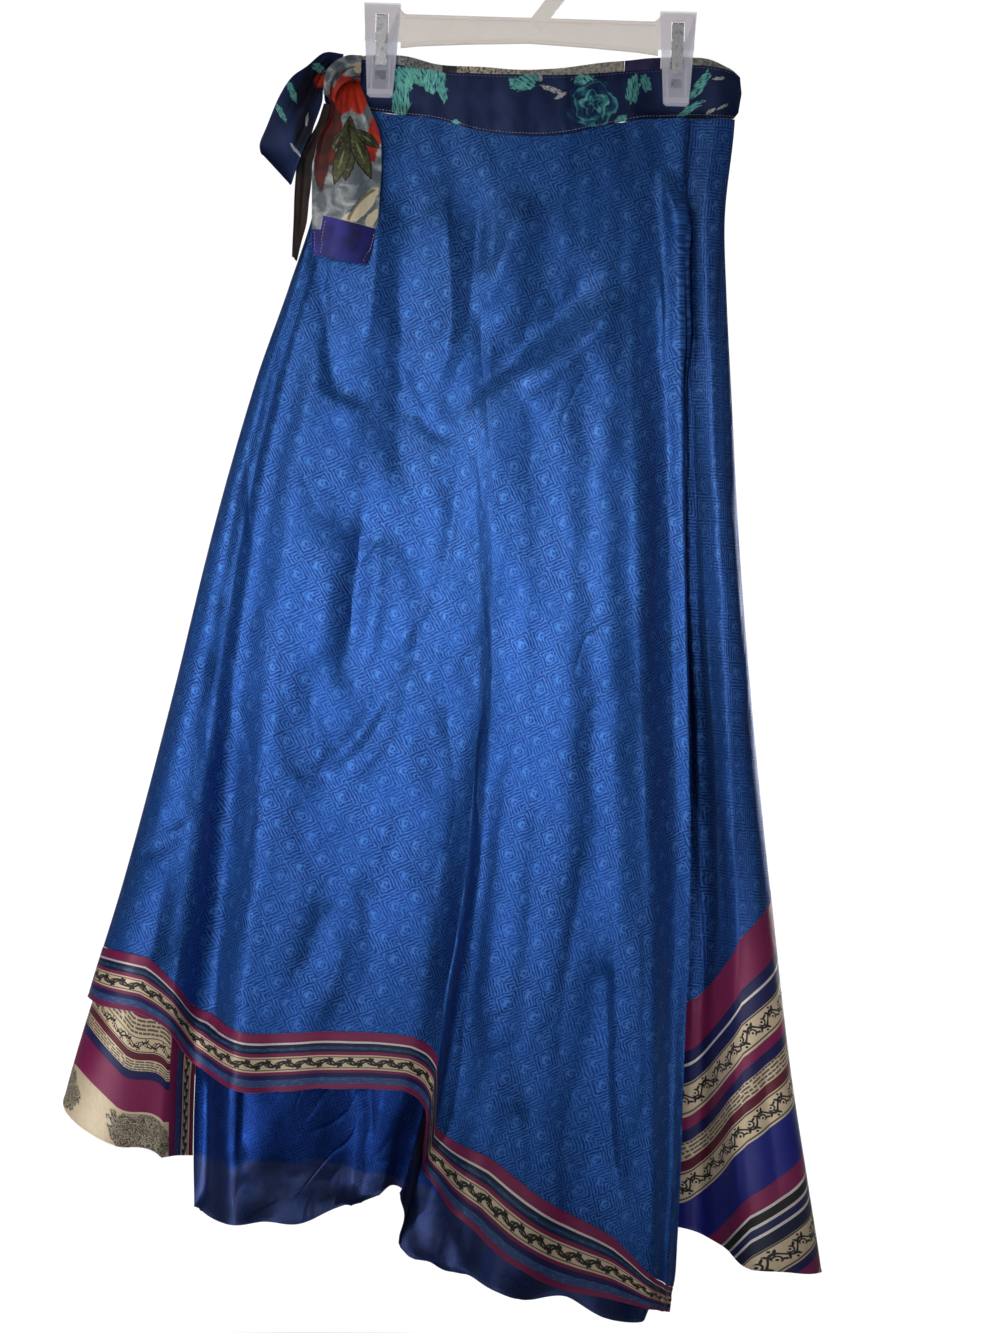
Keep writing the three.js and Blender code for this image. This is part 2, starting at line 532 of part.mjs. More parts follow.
// One jaw, about x = 0: a tapered plate with a slot for the spring, two rails below it, a lip
// at its foot and a small square window. outward is -1 for the front jaw and 1 for the back one.
function clipJaw(outward) {
  const depths = (a, b) => [outward * a, outward * b].sort((p, q) => p - q);
  const face = JAW.inner + JAW.thick;
  const corner = 2;
  const halfAt = (z) => lerp(JAW.halfTop, JAW.halfFoot, (JAW.top - z) / (JAW.top - JAW.bottom));
  const plateOutline = mirrored([
    [JAW.halfTop, JAW.top],
    [halfAt(JAW.bottom + corner), JAW.bottom + corner],
    [JAW.halfFoot - corner, JAW.bottom],
  ]);
  const slab = ([x0, x1], [z0, z1], [from, to]) => {
    const [y0, y1] = depths(from, to);
    return solid(block([x0, y0, z0], [x1, y1, z1]));
  };
  const raised = [JAW.inner, face + JAW_RIB.stand];
  const wholeDepth = [0, face + BAR.depth];
  const lipTop = JAW.bottom + JAW_RIB.lip;
  const foot = halfAt(lipTop) - JAW_RIB.inset;
  let jaw = solid(plate(shapeOf(plateOutline), ...depths(JAW.inner, face)));
  jaw = jaw.add(slab([-foot, foot], [JAW.bottom + corner, lipTop], raised));
  for (const side of [-1, 1]) {
    const rail = JAW_RIB.rails.map((x) => side * x).sort((p, q) => p - q);
    jaw = jaw.add(slab(rail, [lipTop, SLOT.bottom + 1], raised));
  }
  jaw = jaw.subtract(slab([-SLOT.half, SLOT.half], [SLOT.bottom, SLOT.top], wholeDepth));
  const { half, top, bottom } = JAW_WINDOW;
  jaw = jaw.subtract(slab([-half, half], [bottom, top], wholeDepth));
  return geometryOf(jaw);
}

// The steel clamp, about x = 0: its bridge passes through the slots and its legs press on the jaws.
function clipSpring() {
  const { bridge, foot, thick, half, clear, bend } = SPRING;
  const inner = JAW.inner + JAW.thick + clear;
  const outer = inner + thick;
  const outside = [[outer - bend, bridge], [outer, bridge - bend], [outer, foot]];
  const inside = [[inner, foot], [inner, bridge - thick]];
  return plate(shapeOf(mirrored([...outside, ...inside])), -half, half).rotateZ(Math.PI / 2);
}

// ---------------------------------------------------------------- materials
const finish = (color, roughness, metalness = 0) =>
  new THREE.MeshStandardMaterial({ color, roughness, metalness, side: THREE.DoubleSide });
const FINISH = {
  blueSilk: finish(0x2450a8, 0.42, 0.15),
  underSilk: finish(0x1f489c, 0.4, 0.15),
  borderStripe: finish(0x8a3260, 0.5, 0.1),
  endStripe: finish(0xa58a72, 0.55, 0.05),
  roseBand: finish(0x20305f, 0.5),
  greyBand: finish(0x93958f, 0.6),
  navyBand: finish(0x2a2a66, 0.5),
  tiePrint: finish(0x8c9096, 0.55),
  tieEnd: finish(0x2d2e78, 0.5),
  tieDark: finish(0x33291f, 0.55),
  clearPlastic: finish(0xd9d4cc, 0.2),
  steel: finish(0xb9bcc0, 0.3, 1),
};

// ---------------------------------------------------------------- assembly
const skirt = new THREE.Group();
function add(name, geometry, material, parent = skirt) {
  const mesh = new THREE.Mesh(geometry, material);
  mesh.name = name;
  parent.add(mesh);
}

// The edges of a panel: the waist seam, or a height that each fold holds.
const seamLine = (folds, seam) => (s) => seam(sectionPoint(folds, s, WAIST_Z).x);
const foldLine = (folds, column, shift = 0) => (s) => alongFolds(folds, s, column) + shift;
const halfGap = SEAM_GAP / 2;

// A length of the outer layer, and the trim or end piece that carries on below it.
function silkPanel(folds, [from, to], seam, below) {
  const edges = { top: seamLine(folds, seam), bottom: foldLine(folds, "join", halfGap) };
  return panel({ folds, from, to, ...edges, heights: SHARED_HEIGHTS, below });
}
function hemPanel(folds, [from, to], below) {
  const edges = { top: foldLine(folds, "join", -halfGap), bottom: foldLine(folds, "edge") };
  return panel({ folds, from, to, ...edges, below });
}

// Front, from the seam behind the left side fold to the free edge at the deep pleat.
const frontSpan = ["back_crest_5", "pleat_edge"];
add("front_panel", silkPanel(FRONT, frontSpan, waist.seamFront, 4), FINISH.blueSilk);
add("front_border", hemPanel(FRONT, frontSpan, 1), FINISH.borderStripe);

// Right side, from inside the pleat round to the back, with its striped end piece.
const rightSpan = ["pleat_inside", "back_valley_1"];
add("right_panel", silkPanel(RIGHT_AND_BACK, rightSpan, waist.seamBack, 2), FINISH.blueSilk);
add("right_end_piece", hemPanel(RIGHT_AND_BACK, rightSpan, 4), FINISH.endStripe);

// Back, whose border starts lower than the right end piece's seam.
const RIGHT_END = RIGHT_AND_BACK.findIndex((row) => row.name === "back_valley_1");
const BACK = [{ ...RIGHT_AND_BACK[RIGHT_END], join: -915 }, ...RIGHT_AND_BACK.slice(RIGHT_END + 1)];
const backSpan = ["back_valley_1", "back_crest_5"];
add("back_panel", silkPanel(BACK, backSpan, waist.seamBack, 4), FINISH.blueSilk);
add("back_border", hemPanel(BACK, backSpan, 1), FINISH.borderStripe);

// Under layer, hung inside the front and round the left side. It leaves out the front's last
// three folds, the deep pleat, and starts at the back's last three.
const insideFront = inset(FRONT.slice(1, -3)).map((row) => {
  const shift = UNDER_STEP.folds.includes(row.name) ? UNDER_STEP.shift : [0, 0, 0];
  return { ...row, x: row.x?.map((v, k) => v + shift[k]), hem: UNDER_HEM[row.name] };
});
const insideBack = inset(RIGHT_AND_BACK.slice(-3)).map((row) => ({ ...row, hem: UNDER_HEM[row.name] }));
const UNDER = [...insideBack, ...insideFront, UNDER_END];
const underHem = foldLine(UNDER, "hem");
const underSilk = { folds: UNDER, top: seamLine(UNDER, waist.seamFront), heights: UNDER_HEIGHTS };
const frontPart = { from: "left_valley", to: "under_edge" };
const sidePart = { from: "back_crest_4", to: "left_valley" };
const underPanel = panel({ ...underSilk, ...frontPart, bottom: underHem, below: 4 });
const underSide = panel({ ...underSilk, ...sidePart, bottom: () => END_PIECE.top + halfGap, below: 2 });
const leftEnd = panel({
  ...sidePart,
  folds: UNDER,
  top: () => END_PIECE.top - halfGap,
  bottom: (s) => Math.max(underHem(s), END_PIECE.hemAtSeam),
  below: 3,
});
add("under_panel", underPanel, FINISH.underSilk);
add("under_side_panel", underSide, FINISH.underSilk);
add("left_end_piece", leftEnd, FINISH.endStripe);

// Waistband: the rose-print length in front, and three lengths pieced together behind. They
// are kept apart by a share of a fold: more at the side folds than at the patch.
const foldGap = 0.08;
const pieceGap = 0.004;
const lastFold = ringBand.length - 1;
const patchStart = backAt(NAVY_PATCH.from);
const patchEnd = backAt(NAVY_PATCH.to);
const bandFront = bandPiece(foldGap, RIGHT_FOLD - foldGap, FACES.front, 60);
const bandRight = bandPiece(RIGHT_FOLD + foldGap, patchStart - pieceGap, FACES.back, 10);
const bandPatch = bandPiece(patchStart + pieceGap, patchEnd - pieceGap, FACES.back, 4);
const bandLeft = bandPiece(patchEnd + pieceGap, lastFold - foldGap, FACES.back, 24);
add("waistband_front", bandFront, FINISH.roseBand);
add("waistband_back_right", bandRight, FINISH.greyBand);
add("waistband_back_patch", bandPatch, FINISH.navyBand);
add("waistband_back_left", bandLeft, FINISH.greyBand);

// Ties.
add("tie_collar", ribbon(COLLAR), FINISH.tiePrint);
add("tie_tail_front", ribbon(TAIL_FRONT), FINISH.tiePrint);
add("tie_tail_front_end", ribbon(TAIL_FRONT_END, 2), FINISH.tieEnd);
add("tie_tail_back", ribbon(TAIL_BACK), FINISH.tiePrint);
add("tie_tail_back_end", ribbon(TAIL_BACK_END, 2), FINISH.tieEnd);
add("tie_strip_dark", ribbon(DARK_STRIP, 2, 2), FINISH.tieDark);
add("tie_loop", ribbon(WIDE_LOOP, 4), FINISH.roseBand);

// Hanger, with a clip near each end of its bar.
add("hanger_frame", hangerFrame(), FINISH.clearPlastic);
for (const [side, x] of [["left", -CLIP_X], ["right", CLIP_X]]) {
  const clip = new THREE.Group();
  clip.position.x = x;
  skirt.add(clip);
  add(`clip_jaw_front_${side}`, clipJaw(-1), FINISH.clearPlastic, clip);
  add(`clip_jaw_back_${side}`, clipJaw(1), FINISH.clearPlastic, clip);
  add(`clip_spring_${side}`, clipSpring(), FINISH.steel, clip);
}

export default skirt;
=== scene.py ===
"""A wrap skirt of printed silk, hung by two clips from a clear plastic hanger.

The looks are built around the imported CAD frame. Tables of places are in millimetres, on the
frame's axes: the front faces -Y, the waistband runs along X and +Z is up. Meshes are in metres.
"""

import logging
import math
from dataclasses import dataclass, replace
from enum import Enum
from functools import cache
from typing import Callable, ClassVar, Iterable, Sequence

import bmesh
import bpy
import numpy as np
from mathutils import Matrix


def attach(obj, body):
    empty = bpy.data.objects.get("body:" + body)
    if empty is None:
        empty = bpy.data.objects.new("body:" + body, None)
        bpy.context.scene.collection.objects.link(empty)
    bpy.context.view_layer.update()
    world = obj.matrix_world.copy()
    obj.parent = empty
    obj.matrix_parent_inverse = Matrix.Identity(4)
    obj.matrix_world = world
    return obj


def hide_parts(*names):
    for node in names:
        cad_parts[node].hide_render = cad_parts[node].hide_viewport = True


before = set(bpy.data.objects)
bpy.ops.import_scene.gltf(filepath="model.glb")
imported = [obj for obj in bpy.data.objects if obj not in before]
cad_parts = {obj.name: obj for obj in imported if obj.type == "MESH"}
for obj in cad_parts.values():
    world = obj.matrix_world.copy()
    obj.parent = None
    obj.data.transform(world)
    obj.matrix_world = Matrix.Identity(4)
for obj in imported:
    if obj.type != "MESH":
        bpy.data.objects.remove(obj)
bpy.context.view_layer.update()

LOG = logging.getLogger("wrap_skirt")
MM = 0.001
BODY = "root"
# Where two faces of a cloth shell meet at more than this, they show an edge.
SHARP = math.radians(50)
Triple = tuple[float, float, float]
Colour = tuple[float, float, float]
Curve = Callable[[np.ndarray], np.ndarray]


def srgb(*levels: int) -> Colour:
    """Linear colour of an sRGB colour whose red, green and blue are given as 0 to 255."""
    shares = np.array(levels) / 255
    return tuple(np.where(shares <= 0.04045, shares / 12.92, ((shares + 0.055) / 1.055) ** 2.4).tolist())


# ---------------- numpy helpers
def smooth(share: np.ndarray) -> np.ndarray:
    """Eased share: 3t^2 - 2t^3, held at 0 and 1 outside."""
    held = np.clip(share, 0, 1)
    return held * held * (3 - 2 * held)


def lerp(low: np.ndarray, high: np.ndarray, share: np.ndarray) -> np.ndarray:
    """The point a share of the way from low to high."""
    return low + (high - low) * share


def table_curve(keys: Sequence[float], values: Sequence[float]) -> Curve:
    """A smooth curve through a table, as Hermite spans whose slopes come from both neighbours.

    Args:
        keys: Rising places of the table's rows.
        values: The value that each row holds.

    Returns:
        A function of an array of places, held at the table's ends.
    """
    key = np.asarray(keys, float)
    value = np.asarray(values, float)
    before = np.maximum(np.arange(len(key)) - 1, 0)
    after = np.minimum(np.arange(len(key)) + 1, len(key) - 1)
    slope = (value[after] - value[before]) / (key[after] - key[before])

    def curve(place: np.ndarray) -> np.ndarray:
        """A Hermite span's value at each place, as an eased line plus a bend.

        Args:
            place: The places.

        Returns:
            The values.
        """
        span = np.clip(np.searchsorted(key, place, side="right") - 1, 0, len(key) - 2)
        step = key[span + 1] - key[span]
        share = np.clip((place - key[span]) / step, 0, 1)
        bend = share * (1 - share) * step * ((1 - share) * slope[span] - share * slope[span + 1])
        return lerp(value[span], value[span + 1], smooth(share)) + bend

    return curve


def curves_through(rows: Sequence[Sequence[float]], at: np.ndarray) -> np.ndarray:
    """Smooth curves through a table's columns, read at places that count its rows from 0."""
    stations = np.arange(len(rows))
    return np.stack([table_curve(stations, column)(at) for column in zip(*rows)], axis=-1)


def lengths_along(points: np.ndarray, axis: int) -> np.ndarray:
    """Running length of a grid's lines along one axis, starting at 0."""
    steps = np.linalg.norm(np.diff(points, axis=axis), axis=-1)
    return np.concatenate([np.zeros_like(steps.take([0], axis)), np.cumsum(steps, axis=axis)], axis=axis)


def grid_normals(points: np.ndarray) -> np.ndarray:
    """Unit normals of a grid [column, row, xyz]: down crossed with across, which looks out of the skirt."""
    normal = np.cross(np.gradient(points, axis=1), np.gradient(points, axis=0))
    return normal / np.maximum(np.linalg.norm(normal, axis=-1, keepdims=True), 1e-12)


# ---------------- meshes
def linked(name: str, data: bpy.types.ID) -> bpy.types.Object:
    """A new object at the scene's origin.

    Args:
        name: The object's name.
        data: The mesh, light or camera that it holds.

    Returns:
        The object.
    """
    made = bpy.data.objects.new(name, data)
    bpy.context.scene.collection.objects.link(made)
    return made


def mesh_object(name: str, points: np.ndarray, faces: np.ndarray) -> bpy.types.Object:
    """A mesh object at the origin.

    Args:
        name: Its name.
        points: Its points in metres, with a last axis of x, y and z.
        faces: A row of point numbers for each face.

    Returns:
        The object.
    """
    mesh = bpy.data.meshes.new(name)
    mesh.from_pydata(points.reshape(-1, 3).tolist(), [], faces.tolist())
    return linked(name, mesh)


def shell(name: str, outer: np.ndarray, flat: np.ndarray, thick: np.ndarray) -> bpy.types.Object:
    """A closed thin shell of cloth: a grid, the same moved back along its normals, and the edges.

    Args:
        name: The piece's name.
        outer: Outer points, [column, row, xyz], in metres.
        flat: Flat cloth coordinates of the points, in metres.
        thick: Thickness at the points, in metres.

    Returns:
        The piece, with its UV map.
    """
    inner = outer - grid_normals(outer) * thick[..., None]
    index = np.arange(2 * thick.size).reshape(2, *thick.shape)

    def quads(a: np.ndarray, b: np.ndarray) -> np.ndarray:
        """Faces between lines of points and their neighbours."""
        return np.stack([a[..., :-1], a[..., 1:], b[..., 1:], b[..., :-1]], axis=-1).reshape(-1, 4)

    faces = [
        quads(index[0, :-1], index[0, 1:]),
        quads(index[1, :-1], index[1, 1:])[:, ::-1],
        quads(index[0, :, 0], index[1, :, 0]),
        quads(index[1, :, -1], index[0, :, -1]),
        quads(index[1, 0], index[0, 0]),
        quads(index[0, -1], index[1, -1]),
    ]
    piece = mesh_object(name, np.stack([outer, inner]), np.concatenate(faces))
    mesh = piece.data
    vertex = np.zeros(len(mesh.loops), np.int32)
    mesh.loops.foreach_get("vertex_index", vertex)
    cloth = np.stack([flat, flat]).reshape(-1, 2)[vertex].astype(np.float32)
    mesh.uv_layers.new(name="cloth").data.foreach_set("uv", cloth.ravel())
    mesh.shade_smooth()
    mesh.set_sharp_from_angle(angle=SHARP)
    return piece


def log_measures(name: str, points: np.ndarray) -> None:
    """Logs one layer's area, the sum of its cells' cross products, and how wide and long it is.

    Args:
        name: The piece's name.
        points: The layer's points, [column, row, xyz], in metres.
    """
    across = points[1:, :-1] - points[:-1, :-1]
    down = points[:-1, 1:] - points[:-1, :-1]
    area = np.linalg.norm(np.cross(down, across), axis=-1).sum()
    widths = lengths_along(points, axis=0)[-1]
    length = lengths_along(points, axis=1)[:, -1].max()
    LOG.info("%s: %.5f m2, %.4f m to %.4f m wide, %.4f m long", name, area, widths[0], widths[-1], length)


# ---------------- shader graphs

# Places of a Mix node's sockets when it mixes colours.
MIX_SHARE, MIX_LOW, MIX_HIGH, MIX_RESULT = 0, 6, 7, 2


def arithmetic(operation: str, swapped: bool = False) -> Callable[..., "Port"]:
    """Makes a method of Port that adds a Math node.

    Args:
        operation: The node's operation.
        swapped: Whether the port is the second number instead of the first.

    Returns:
        The method. It takes the other number, where the operation has one.
    """

    def method(port: "Port", *other: "Port | float") -> "Port":
        """The Math node's result."""
        return port.graph.math(operation, *((*other, port) if swapped else (port, *other)))

    return method


class Port:
    """One number, vector or colour in a shader graph. Arithmetic on it adds Math nodes."""

    __add__ = __radd__ = arithmetic("ADD")
    __sub__ = arithmetic("SUBTRACT")
    __rsub__ = arithmetic("SUBTRACT", swapped=True)
    __mul__ = __rmul__ = arithmetic("MULTIPLY")
    __truediv__ = arithmetic("DIVIDE")
    __pow__ = arithmetic("POWER")
    __abs__ = arithmetic("ABSOLUTE")
    most = arithmetic("MAXIMUM")
    least = arithmetic("MINIMUM")
    root = arithmetic("SQRT")
    sine = arithmetic("SINE")
    cosine = arithmetic("COSINE")
    sign = arithmetic("SIGN")
    whole = arithmetic("FLOOR")
    part = arithmetic("FRACT")

    def __init__(self, graph: "Graph", socket: bpy.types.NodeSocket) -> None:
        """Holds the socket that the value comes out of."""
        self.graph, self.socket = graph, socket

    def rise(self, low: float, high: float) -> "Port":
        """An eased step from 0 to 1, or from 1 to 0 where low is over high.

        Args:
            low: The value at which it starts.
            high: The value at which it ends.

        Returns:
            The step's height.
        """
        if low > high:
            return 1 - self.rise(high, low)
        span = {"Value": self, "From Min": low, "From Max": high}
        return self.graph.port("ShaderNodeMapRange", span, interpolation_type="SMOOTHSTEP")

    def zigzag(self) -> "Port":
        """A triangle wave: 1 at whole numbers and 0 halfway between them."""
        return abs(self.part() - 0.5) * 2


class Graph:
    """A shader node tree that is being written, with short calls for the nodes it uses."""

    def __init__(self, tree: bpy.types.NodeTree) -> None:
        """Starts on a tree."""
        self.tree = tree

    def add(self, kind: str, **settings: object) -> bpy.types.Node:
        """A new node.

        Args:
            kind: The node's type.
            settings: Values of its properties.

        Returns:
            The node.
        """
        node = self.tree.nodes.new(kind)
        for name, value in settings.items():
            setattr(node, name, value)
        return node

    def feed(self, socket: bpy.types.NodeSocket, value: "Port | float | Sequence[float]") -> None:
        """Links a port to a socket, or sets the socket's own value.

        Args:
            socket: An input of a node.
            value: A port, a number, or a colour of three numbers.
        """
        if isinstance(value, Port):
            self.tree.links.new(value.socket, socket)
        else:
            socket.default_value = (*value, 1) if socket.type == "RGBA" else value

    def port(self, kind: str, inputs: dict[str | int, object], output: int = 0, **settings: object) -> Port:
        """One output of a new node.

        Args:
            kind: The node's type.
            inputs: What feeds its inputs, by their labels or places.
            output: The place of the output.
            settings: Values of its properties.

        Returns:
            The output.
        """
        made = self.add(kind, **settings)
        for key, value in inputs.items():
            self.feed(made.inputs[key], value)
        return Port(self, made.outputs[output])

    def math(self, operation: str, *inputs: "Port | float") -> Port:
        """A Math node."""
        return self.port("ShaderNodeMath", dict(enumerate(inputs)), operation=operation)

    def mix(self, share: "Port | float", low: "Port | Colour", high: "Port | Colour") -> Port:
        """A colour a share of the way from low to high."""
        inputs = {MIX_SHARE: share, MIX_LOW: low, MIX_HIGH: high}
        return self.port("ShaderNodeMix", inputs, output=MIX_RESULT, data_type="RGBA")

    def join(self, x: "Port | float", y: "Port | float") -> Port:
        """A vector from two numbers."""
        return self.port("ShaderNodeCombineXYZ", {0: x, 1: y})

    def split(self, vector: Port) -> tuple[Port, Port, Port]:
        """The three numbers of a vector."""
        x = self.port("ShaderNodeSeparateXYZ", {0: vector})
        return tuple(Port(self, socket) for socket in x.socket.node.outputs)

    def noise(
        self, place: "Port | tuple[Port, Port | float]", scale: float, detail: float = 2, turn: float = 0,
    ) -> Port:
        """Soft noise from 0 to 1.

        Args:
            place: A vector, or two numbers that make one.
            scale: Cycles to a metre.
            detail: Octaves of finer noise.
            turn: How much the noise warps itself.

        Returns:
            The noise.
        """
        vector = place if isinstance(place, Port) else self.join(*place)
        inputs = {"Vector": vector, "Scale": scale, "Detail": detail, "Distortion": turn}
        return self.port("ShaderNodeTexNoise", inputs)

    def object_place(self) -> Port:
        """Place on the object, in metres."""
        return Port(self, self.add("ShaderNodeTexCoord").outputs["Object"])

    def cloth_place(self) -> tuple[Port, Port]:
        """Place on the flat cloth: along it and down it, in metres."""
        along, down, _ = self.split(self.port("ShaderNodeUVMap", {}, uv_map="cloth"))
        return along, down

    def place(self, group: bpy.types.NodeTree, **values: "Port | float") -> dict[str, Port]:
        """Places a node group.

        Args:
            group: The node group.
            values: A value for each input, by its name in small letters.

        Returns:
            The group's outputs, by name.
        """
        made = self.add("ShaderNodeGroup", node_tree=group)
        for name, value in values.items():
            self.feed(made.inputs[name.title()], value)
        return {socket.name: Port(self, socket) for socket in made.outputs}

    def stripes(self, place: Port, bands: Sequence[tuple[float, Colour]]) -> Port:
        """Bands of plain colour one after another.

        Args:
            place: How far across the bands, in millimetres.
            bands: Each band's width in millimetres and its colour.

        Returns:
            The colour at the place.
        """
        total = sum(width for width, _ in bands)
        made = self.add("ShaderNodeValToRGB")
        self.feed(made.inputs[0], place / total)
        ramp = made.color_ramp
        ramp.interpolation = "CONSTANT"
        start = 0.0
        for number, (width, colour) in enumerate(bands):
            stop = ramp.elements[0] if number == 0 else ramp.elements.new(start / total)
            stop.color = (*colour, 1)
            start += width
        ramp.elements.remove(ramp.elements[-1])
        return Port(self, made.outputs[0])


def effect(inputs: str, outputs: str) -> Callable:
    """Makes a drawing function into a node group, built when it is first asked for.

    Args:
        inputs: Names of the group's inputs, which the function takes after its graph.
        outputs: Names of its outputs, which the function returns in that order.

    Returns:
        The decorator. What it makes is called with nothing and gives the group.
    """

    def decorate(draw: Callable[..., tuple[Port, ...]]) -> Callable[[], bpy.types.NodeTree]:
        """Turns one drawing function into the call that gives its group.

        Args:
            draw: The function.

        Returns:
            The call.
        """

        @cache
        def group() -> bpy.types.NodeTree:
            """The node group, whose sockets are all plain numbers.

            Returns:
                The group.
            """
            tree = bpy.data.node_groups.new(draw.__name__, "ShaderNodeTree")
            for side, labels in (("INPUT", inputs), ("OUTPUT", outputs)):
                for label in labels.split():
                    tree.interface.new_socket(label, in_out=side, socket_type="NodeSocketFloat")
            graph = Graph(tree)
            entry, leave = graph.add("NodeGroupInput"), graph.add("NodeGroupOutput")
            given = [Port(graph, socket) for socket in entry.outputs if socket.name]
            for socket, value in zip(leave.inputs, draw(graph, *given)):
                graph.feed(socket, value)
            return tree

        return group

    return decorate


# ---------------- effects shared by the finishes
@effect("Along Down Thread", "Height Tone Shine Grain")
def silk_weave(graph: Graph, along: Port, down: Port, thread: Port) -> tuple[Port, ...]:
    """Fine threads of silk that run along and across the cloth, thickened here and there.

    Height adds up two thread waves, long slubs, a fine crepe and two soft crumples.

    Args:
        graph: The group's graph.
        along: Place along the cloth, in metres.
        down: Place down the cloth, in metres.
        thread: Spacing of the threads, in metres.

    Returns:
        Height, a slow tone with the slubs in it, how much smoother a spot is, and a fine grain.
    """
    threads = (along / thread).zigzag() * 0.04 + (down / thread).zigzag() * 0.04
    slub = graph.noise((along * 0.25, down), 900, 3)
    crepe = graph.noise((along, down * 0.6), 420, 4)
    slow = graph.noise((along, down), 14, 3)
    crumple = graph.noise((along, down * 0.55), 25, 2) * 8
    pucker = graph.noise((along, down * 0.7), 70, 2) * 2.2
    height = threads + slub * 0.16 + crepe * 0.3 + crumple + pucker
    tone = crepe * 0.5 + slub * 0.2 + slow * 0.3
    return height, tone, slow * 0.6 + crepe * 0.4, slub * 0.5 + crepe * 0.5


@effect("Along Down", "Height")
def pressed_lines(graph: Graph, along: Port, down: Port) -> tuple[Port]:
    """Sharp fine creases of silk that has hung and been folded, mostly running down.

    Height is how far two slow noises are from their middle value. A third one fades the finer
    of them in and out.

    Args:
        graph: The group's graph.
        along: Place along the cloth, in metres.
        down: Place down the cloth, in metres.

    Returns:
        The height.
    """
    long = abs(graph.noise((along, down * 0.3), 15, 1) - 0.5)
    short = abs(graph.noise((along * 0.8 + down * 0.4, down * 0.5), 34, 1, 0.6) - 0.5)
    here = graph.noise((along, down), 7, 1).rise(0.36, 0.64)
    return (long.least(0.09) * 1.6 + short.least(0.08) * here * 0.9,)


@effect("Along Down Cell Turn", "Lines Heart")
def chequer_print(graph: Graph, along: Port, down: Port, cell: Port, turn: Port) -> tuple[Port, Port]:
    """A chequer of nested squares and nested corners, turned on the cloth.

    Lines follow the larger of the two distances from a cell's middle, which draws squares. In
    every other cell the distances keep their signs, which draws corners.

    Args:
        graph: The group's graph.
        along: Place along the cloth, in metres.
        down: Place down the cloth, in metres.
        cell: A cell's side, in metres.
        turn: The chequer's turn, in radians.

    Returns:
        Light lines, and the round middle of a cell, with a bite out of its lower corner.
    """
    wobble = graph.noise((along, down), 210, 2) * 0.0028
    cosine, sine = turn.cosine(), turn.sine()
    column = (along * cosine + down * sine + wobble) / cell
    row = (down * cosine - along * sine + wobble) / cell
    x, y = column.part() - 0.5, row.part() - 0.5
    other = ((column.whole() + row.whole()) / 2).part() * 2
    square = abs(x).most(abs(y))
    corner = (x * -1).most(y * -1)
    depth = square + (corner - square) * other
    spacing = 0.136
    unsteady = graph.noise((along, down), 330, 2) * 0.12
    far = (x * x + y * y).root() + unsteady
    bite = (x + y).rise(-0.04, 0.02) * abs(x - y).rise(0.17, 0.1)
    clear = far.rise(0.27, 0.22) * (1 - bite)
    lines = ((depth - 0.5) / spacing).zigzag().most(clear * 0.85)
    return lines, clear * (1 - other * 0.35)


@effect("Along Across Pitch Line", "Ink")
def scroll_vine(graph: Graph, along: Port, across: Port, pitch: Port, line: Port) -> tuple[Port]:
    """A curling vine along a strip.

    The stem is a sine wave, and each half wave carries a curl, leaves and berries, mirrored on
    the next half.

    Args:
        graph: The group's graph.
        along: Place along the strip, in metres.
        across: Place across the strip, from -1 to 1.
        pitch: Length of a whole wave, in metres.
        line: How bold the drawing is, 1 for the boldest.

    Returns:
        Where there is ink.
    """
    turns = along / pitch
    across = across + (graph.noise((along, across * 0.01), 130, 1) - 0.5) * 0.25
    x = ((turns * 2).part() - 0.5) * 1.15
    y = across * (turns.part() - 0.5).sign()
    stem = (abs(across - (turns * math.tau).sine() * -0.42) / line).rise(0.27, 0.15)

    def ring(cx: float, cy: float, radius: float, width: float) -> Port:
        """A drawn circle."""
        far = ((x - cx) ** 2 + (y - cy) ** 2).root()
        return (abs(far - radius) / line).rise(width, width * 0.4)

    def leaf(cx: float, cy: float, lean: float, length: float, width: float) -> Port:
        """A filled leaf, pointed where a parabola along it meets its breadth.

        Args:
            cx: Its middle along the half wave.
            cy: Its middle across the strip.
            lean: Its turn, in radians.
            length: Its half length.
            width: Its half width.

        Returns:
            Where the leaf is.
        """
        u = (x - cx) * math.cos(lean) + (y - cy) * math.sin(lean)
        v = abs(((y - cy) * math.cos(lean) - (x - cx) * math.sin(lean)) / line / width)
        swell = 1 - (u / length) ** 2
        return v.rise(1, 0.6) * swell.rise(0.02, 0.12) * (swell - v).rise(0, 0.2)

    ink = stem.most(ring(-0.06, -0.12, 0.3, 0.19) * (x + y).rise(-0.5, -0.25))
    for mark in (
        ring(-0.06, -0.14, 0.04, 0.17),
        ring(0.02, 0.72, 0.04, 0.17),
        leaf(0.2, 0.46, 0.9, 0.4, 0.26),
        leaf(-0.36, 0.34, 2.2, 0.38, 0.24),
        leaf(0.42, -0.36, -0.5, 0.34, 0.22),
    ):
        ink = ink.most(mark)
    return (ink,)


